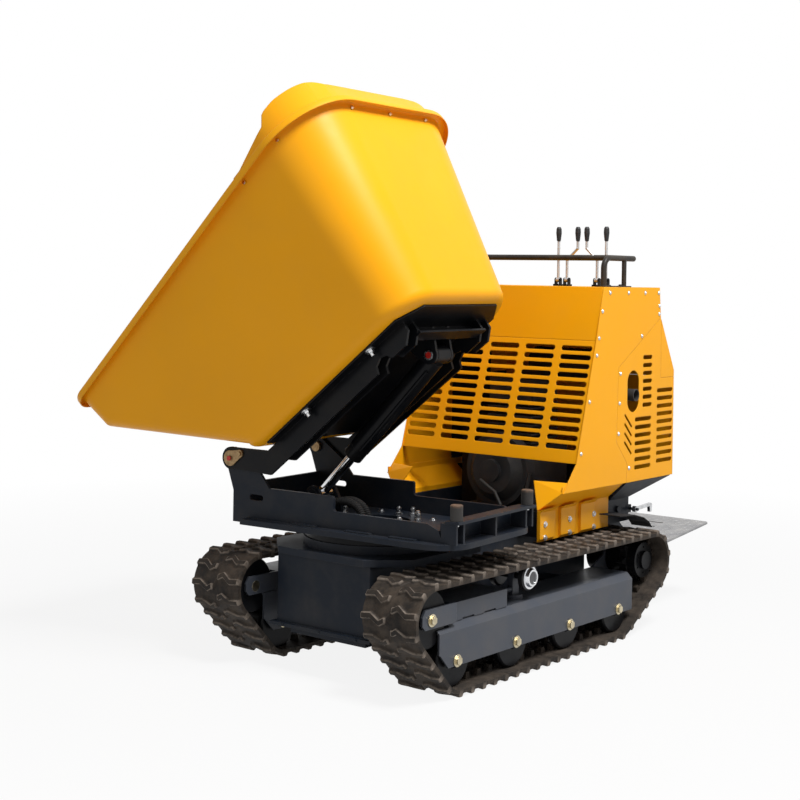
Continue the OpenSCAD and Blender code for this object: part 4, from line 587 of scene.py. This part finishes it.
def tubeAround(path, radii, sides, side=(1, 0, 0)):
    # rings of the given radii round a path that keeps one fixed sideways direction
    tangent = np.gradient(path, axis=0)
    tangent /= np.linalg.norm(tangent, axis=1)[:, None]
    side = np.broadcast_to(np.array(side, float), path.shape)
    lift = np.cross(side, tangent)
    lift /= np.linalg.norm(lift, axis=1)[:, None]
    side = np.cross(tangent, lift)
    turn = np.linspace(0, 2 * math.pi, sides, endpoint=False)
    spokes = np.cos(turn)[None, :, None] * side[:, None] + np.sin(turn)[None, :, None] * lift[:, None]
    return path[:, None] + np.asarray(radii)[:, None, None] * spokes


def makeHoses(h=hose):
    # the radius drops by the rib's depth wherever a wave with one crest to a rib is high
    steps = h["ribs"] * h["ribSteps"] + 1
    flat = curveThrough(np.array(h["route"]) / 1000, steps)
    wave = np.cos(np.linspace(0, 2 * math.pi * h["ribs"], steps))
    radii = h["radius"] - h["rib"] * np.clip(0.5 + 0.9 * wave, 0, 1)
    points, faces = [], []
    for x in h["xs"]:
        path = np.stack([np.full(steps, x), flat[:, 0], flat[:, 1] + h["deckTop"]], 1)
        faces += gridFaces(steps, h["sides"], closeColumns=True, start=len(points) * steps * h["sides"])
        faces += endFaces(steps, h["sides"], start=len(points) * steps * h["sides"])
        points.append(onTable(tubeAround(path, radii, h["sides"])))
    piece = putMesh("ribbedHoses", np.array(points), faces, finishes["plastic"], "turntable",
                    60)
    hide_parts("tray_hose")


makeHoses()
print("hoses")

# Rubber belts: a height field of wavy lugs carried round the wheels, and two rows of guide horns inside
belt = {"wheels": ("idler_{}_spin", "roller_{}_1_spin", "roller_{}_4_spin", "sprocket_{}_spin"),
        "radii": (0.103, 0.095, 0.095, 0.102), "half": 0.115, "band": 0.014, "lug": 0.012, "count": 55,
        "phaseAt": (0.009, 0.0185, 0.037, 0.055, 0.074, 0.1, 0.115),
        "phase": (0.0, 0.0, -0.14, 0.0, 0.14, 0.1, 0.08),
        "rows": (-0.5, -0.37, -0.27, -0.212, -0.187, -0.12, -0.098, 0.0, 0.098, 0.12, 0.187, 0.212, 0.27,
                 0.37),
        "rise": (0, 0, 0, 0.02, 0.1, 0.9, 1, 1, 1, 0.9, 0.1, 0.02, 0, 0),
        "columns": 57, "edge": (0.004, 0.0014), "channel": (0.0085, 0.0125),
        "share": (0.3, 0.3, 1, 1, 0.94, 0.8), "horn": (0.028, 0.046), "hornFoot": 0.015,
        "hornCrest": 0.008, "hornHigh": 0.022, "hornRoot": 0.003}


def beltLoop(side, b=belt):
    # the loop's wheels, the way each straight run faces, and where its arcs and runs start
    centres = np.array([joints[w.format(side)]["pos_m"] for w in b["wheels"]]) - slewAt
    y, z, r = centres[:, 1], centres[:, 2], np.array(b["radii"])
    dy, dz = np.roll(y, -1) - y, np.roll(z, -1) - z
    span = np.hypot(dy, dz)
    facing = np.arctan2(dz, dy) - np.arccos((r - np.roll(r, -1)) / span)
    wrap = (facing - np.roll(facing, 1)) % (2 * math.pi)
    runs = np.sqrt(span ** 2 - (r - np.roll(r, -1)) ** 2)
    lengths = np.stack([wrap * (r + b["band"] / 2), runs], 1).ravel()
    return {"x": centres[0, 0], "y": y, "z": z, "r": r, "facing": facing,
            "starts": np.concatenate([[0], np.cumsum(lengths)])}


def onBelt(loop, s, h, b=belt):
    # point at distance s along the belt and height h over its inner face: on an arc the angle grows with s,
    # and on a run the point slides along the tangent
    starts = loop["starts"]
    t = np.mod(s, starts[-1])
    k = np.clip(np.searchsorted(starts, t, side="right") - 1, 0, 7)
    i, u, arc = k // 2, t - starts[k], k % 2 == 0
    angle = np.where(arc, loop["facing"][i - 1] + u / (loop["r"][i] + b["band"] / 2), loop["facing"][i])
    along = np.where(arc, 0, u)
    y = loop["y"][i] + (loop["r"][i] + h) * np.cos(angle) - along * np.sin(angle)
    z = loop["z"][i] + (loop["r"][i] + h) * np.sin(angle) + along * np.cos(angle)
    return y, z


def beltFinish():
    # brown black rubber: dust lies between the lugs in patches, and the lugs' shoulders are scuffed pale
    f = Finish("beltRubber", specularIorLevel=0.2)
    rise = f.node("Attribute", {"attribute_name": "lugRise"}, out="Fac")
    cloud, fine = f.noise(13, 6, 0.7).above(0.52, 0.13), f.noise(150, 4)
    body = f.mix(fine, (0.008, 0.0066, 0.0058), (0.021, 0.0172, 0.0146))
    body = f.mix(cloud * (0.5 - 0.2 * rise), body, (0.105, 0.079, 0.058))
    shoulder = rise.above(0.55, 0.2) * (1 - rise.above(0.988, 0.01))
    scuff = shoulder * f.noise(34, 5, 0.7).above(0.43, 0.12)
    f.set(baseColor=f.mix(scuff * 0.9, body, (0.21, 0.173, 0.142)), roughness=fine * 0.22 + 0.58)
    f.set(normal=f.bump(f.noise(210, 4), 0.35, 0.0012))
    return f.material


def makeBelt(side, finish, b=belt):
    # each row across the belt is shifted along it by the wave's phase, and raised where it crosses a lug
    loop = beltLoop(side)
    half, (shoulder, corner) = b["half"], b["edge"]
    pitch = loop["starts"][-1] / b["count"]
    x = np.concatenate([[-half, -half + corner], np.linspace(-half + shoulder, half - shoulder, b["columns"]),
                        [half - corner, half]])
    wave = np.interp(np.abs(x), b["phaseAt"], b["phase"])
    inside = np.interp(x, [-b["phaseAt"][0], b["phaseAt"][0]], [0.5, 0.0])
    phase = np.where(np.abs(x) < b["phaseAt"][0], inside, np.where(x > 0, wave, 0.5 - wave))
    share = np.interp(np.abs(x), [0, *b["channel"], half - shoulder, half - corner, half], b["share"])
    rows = (np.arange(b["count"])[:, None] + np.array(b["rows"])).ravel()
    rise = np.tile(b["rise"], b["count"])[:, None] * share
    s = (rows[:, None] + phase) * pitch
    # the inner face closes each row as a ring
    backX = half * np.array([1, 0.45, 0, -0.45, -1])
    backS = (rows[:, None] + np.interp(backX, [-half, half], [phase[0], phase[-1]])) * pitch
    allX = np.concatenate([x, backX])
    allS = np.concatenate([s, backS], 1)
    high = np.concatenate([b["band"] + b["lug"] * rise, np.zeros_like(backS)], 1)
    y, z = onBelt(loop, allS, high)
    points = np.stack([np.broadcast_to(allX + loop["x"], y.shape), y, z], -1)
    faces = gridFaces(len(rows), len(allX), closeRows=True, closeColumns=True)
    piece = putMesh("rubberBelt_" + side, onMachine(points), faces, finish, "chassis", 38)
    value = np.concatenate([rise, np.full_like(backS, 0.4)], 1).ravel()
    piece.data.attributes.new("lugRise", "FLOAT", "POINT").data.foreach_set("value", value)
    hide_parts("track_belt_" + side)
    # horns: four corners in the belt's own run at both faces of each row, eight points to a horn
    foot, crest, high, root = b["hornFoot"], b["hornCrest"], b["hornHigh"], b["hornRoot"]
    corners = np.array([[-foot, root], [-crest, -high], [crest, -high], [foot, root]])
    y, z = onBelt(loop, np.arange(b["count"])[:, None] * pitch + corners[:, 0], corners[:, 1])
    sides = np.array([b["horn"], (-b["horn"][1], -b["horn"][0])])[:, None, :, None] + loop["x"]
    shape = (2, b["count"], 2, 4)
    horns = np.stack([np.broadcast_to(sides, shape), np.broadcast_to(y[None, :, None], shape),
                      np.broadcast_to(z[None, :, None], shape)], -1)
    block = np.array([[0, 1, 5, 4], [1, 2, 6, 5], [2, 3, 7, 6], [3, 0, 4, 7], [0, 3, 2, 1], [4, 5, 6, 7]])
    faces = (block + 8 * np.arange(2 * b["count"])[:, None, None]).reshape(-1, 4).tolist()
    putMesh("guideHorns_" + side, onMachine(horns), faces, finish, "chassis", 30)


rubber = beltFinish()
makeBelt("left", rubber)
makeBelt("right", rubber)
print("belts")

# Apron that closes the engine bay behind, from the deck's rear edge up to the housing's
apron = {"half": 0.345, "low": (1.244, 0.514), "high": (1.452, 0.597), "thick": 0.003, "fold": 0.012}


def putSheet(name, section, sides, finish):
    # one closed section in side view drawn twice, at the two distances from the machine's middle
    section = np.array(section)
    across = np.broadcast_to(np.array(sides)[:, None, None], (2, len(section), 1))
    points = np.concatenate([across, np.broadcast_to(section, (2, len(section), 2))], -1)
    faces = gridFaces(2, len(section), closeColumns=True) + endFaces(2, len(section))
    putMesh(name, onMachine(points), faces, finish, "chassis", 30)


def makeApron(a=apron):
    # a sheet with a turned-in fold along both edges
    low, high = np.array(a["low"]), np.array(a["high"])
    along = (high - low) / np.linalg.norm(high - low)
    thick, fold = a["thick"], a["fold"]
    inward = thick * np.array([-along[1], along[0]])
    section = np.array([low + [0, -fold], low, high, high + [0, fold], high + [-thick, fold], high + inward,
                        low + inward, low + [-thick, -fold]])
    putSheet("rearApron", section, (-a["half"], a["half"]), finishes["navy"])


makeApron()

# Painted shade: a black sheet inside the far side panel, so that no light from its vents shows through the
# grille and the bay behind it looks dark
bayShadeSheet = {"outline": [(1.045, 0.63), (1.465, 0.63), (1.465, 1.0), (1.335, 1.0), (1.335, 1.14), (1.045, 1.14)],
          "sides": (-0.4315, -0.4285)}
putSheet("innerLining", bayShadeSheet["outline"], bayShadeSheet["sides"], finishes["plastic"])

# Camera: level, with a downward shift and a slight roll, as the photograph was framed
view = {"place": (3.518, -4.287, 1.43), "yaw": 38.6, "roll": 0.93, "focal": 1495.0, "horizon": 276.5,
        "image": 800.0, "sensor": 36.0}


def makeCamera(v=view):
    # lens and shift from the focal length and the horizon in pixels, and axes from the yaw and the roll
    data = bpy.data.cameras.new("photoCamera")
    data.sensor_width = v["sensor"]
    data.lens = v["focal"] / v["image"] * v["sensor"]
    data.shift_y = (v["horizon"] - v["image"] / 2) / v["image"]
    yaw, roll = math.radians(v["yaw"]), math.radians(v["roll"])
    ahead = np.array([-math.sin(yaw), math.cos(yaw), 0])
    right = np.array([math.cos(yaw), math.sin(yaw), 0])
    camRight = math.cos(roll) * right + math.sin(roll) * up
    camUp = math.cos(roll) * up - math.sin(roll) * right
    turn = Matrix([Vector(camRight), Vector(camUp), Vector(-ahead)]).transposed()
    camera = bpy.data.objects.new("photoCamera", data)
    camera.matrix_world = Matrix.Translation(Vector(onMachine(v["place"]))) @ turn.to_4x4()
    bpy.context.scene.collection.objects.link(camera)
    bpy.context.scene.camera = camera


makeCamera()

# Studio: pale floor that fades to white, white beyond it, a broad key high on the near side and a weak fill
studio = {"floorSize": 60.0, "floorColour": (0.6, 0.6, 0.6), "floorWhite": 0.88, "fadeAt": 3.2,
          "fadeSoft": 1.4, "worldLight": 0.3, "aim": (0.0, 0.3, 0.9),
          "lamps": [("key", (3.5, -0.2, 6.9), 2.2, 610), ("fill", (0.5, -6.0, 3.2), 4.0, 20)]}


def seenRays(f):
    # 1 for rays from the camera and for those that metal and glass send on
    kinds = ("Is Camera Ray", "Is Glossy Ray", "Is Transmission Ray")
    paths = [f.node("LightPath", out=kind) for kind in kinds]
    return paths[0].most(paths[1]).most(paths[2])


def makeStudio(s=studio):
    # seen rays find the floor nearly white and the world white, and all other rays find both dimmer
    half = s["floorSize"] / 2
    corners = [(-half, -half, 0), (half, -half, 0), (half, half, 0), (-half, half, 0)]
    mesh = bpy.data.meshes.new("floor")
    mesh.from_pydata(corners, [], [(0, 1, 2, 3)])
    f = Finish("paleFloor", baseColor=(*s["floorColour"], 1), roughness=0.9, specularIorLevel=0.0)
    x, y = f.axis(0), f.axis(1)
    fade = (x * x + y * y).power(0.5).above(s["fadeAt"], s["fadeSoft"])
    white = f.node("Emission", sockets={"Color": (1, 1, 1, 1), "Strength": 1.0})
    share = seenRays(f) * (s["floorWhite"] + fade * (1 - s["floorWhite"]))
    both = f.node("MixShader", sockets=[share, Value(f, f.shader.outputs[0]), white])
    f.tree.links.new(both.socket, f.output.inputs[0])
    mesh.materials.append(f.material)
    floor = bpy.data.objects.new("floor", mesh)
    bpy.context.scene.collection.objects.link(floor)
    world = bpy.data.worlds.new("studio")
    bpy.context.scene.world = world
    world.use_nodes = True
    sky = Finish.__new__(Finish)
    sky.tree = world.node_tree
    level = sky.node("MapRange", sockets={"Value": seenRays(sky), "To Min": s["worldLight"], "To Max": 1.0})
    back = sky.tree.nodes["Background"]
    sky.tree.links.new(level.socket, back.inputs["Strength"])
    back.inputs["Color"].default_value = (1, 1, 1, 1)
    for name, place, size, watts in s["lamps"]:
        data = bpy.data.lights.new(name, "AREA")
        data.size, data.energy = size, watts
        lamp = bpy.data.objects.new(name, data)
        lamp.location = Vector(onMachine(place))
        aim = Vector(onMachine(s["aim"])) - lamp.location
        lamp.rotation_euler = aim.to_track_quat("-Z", "Y").to_euler()
        bpy.context.scene.collection.objects.link(lamp)


makeStudio()
bpy.context.scene.view_settings.view_transform = "Standard"
print("camera and studio")
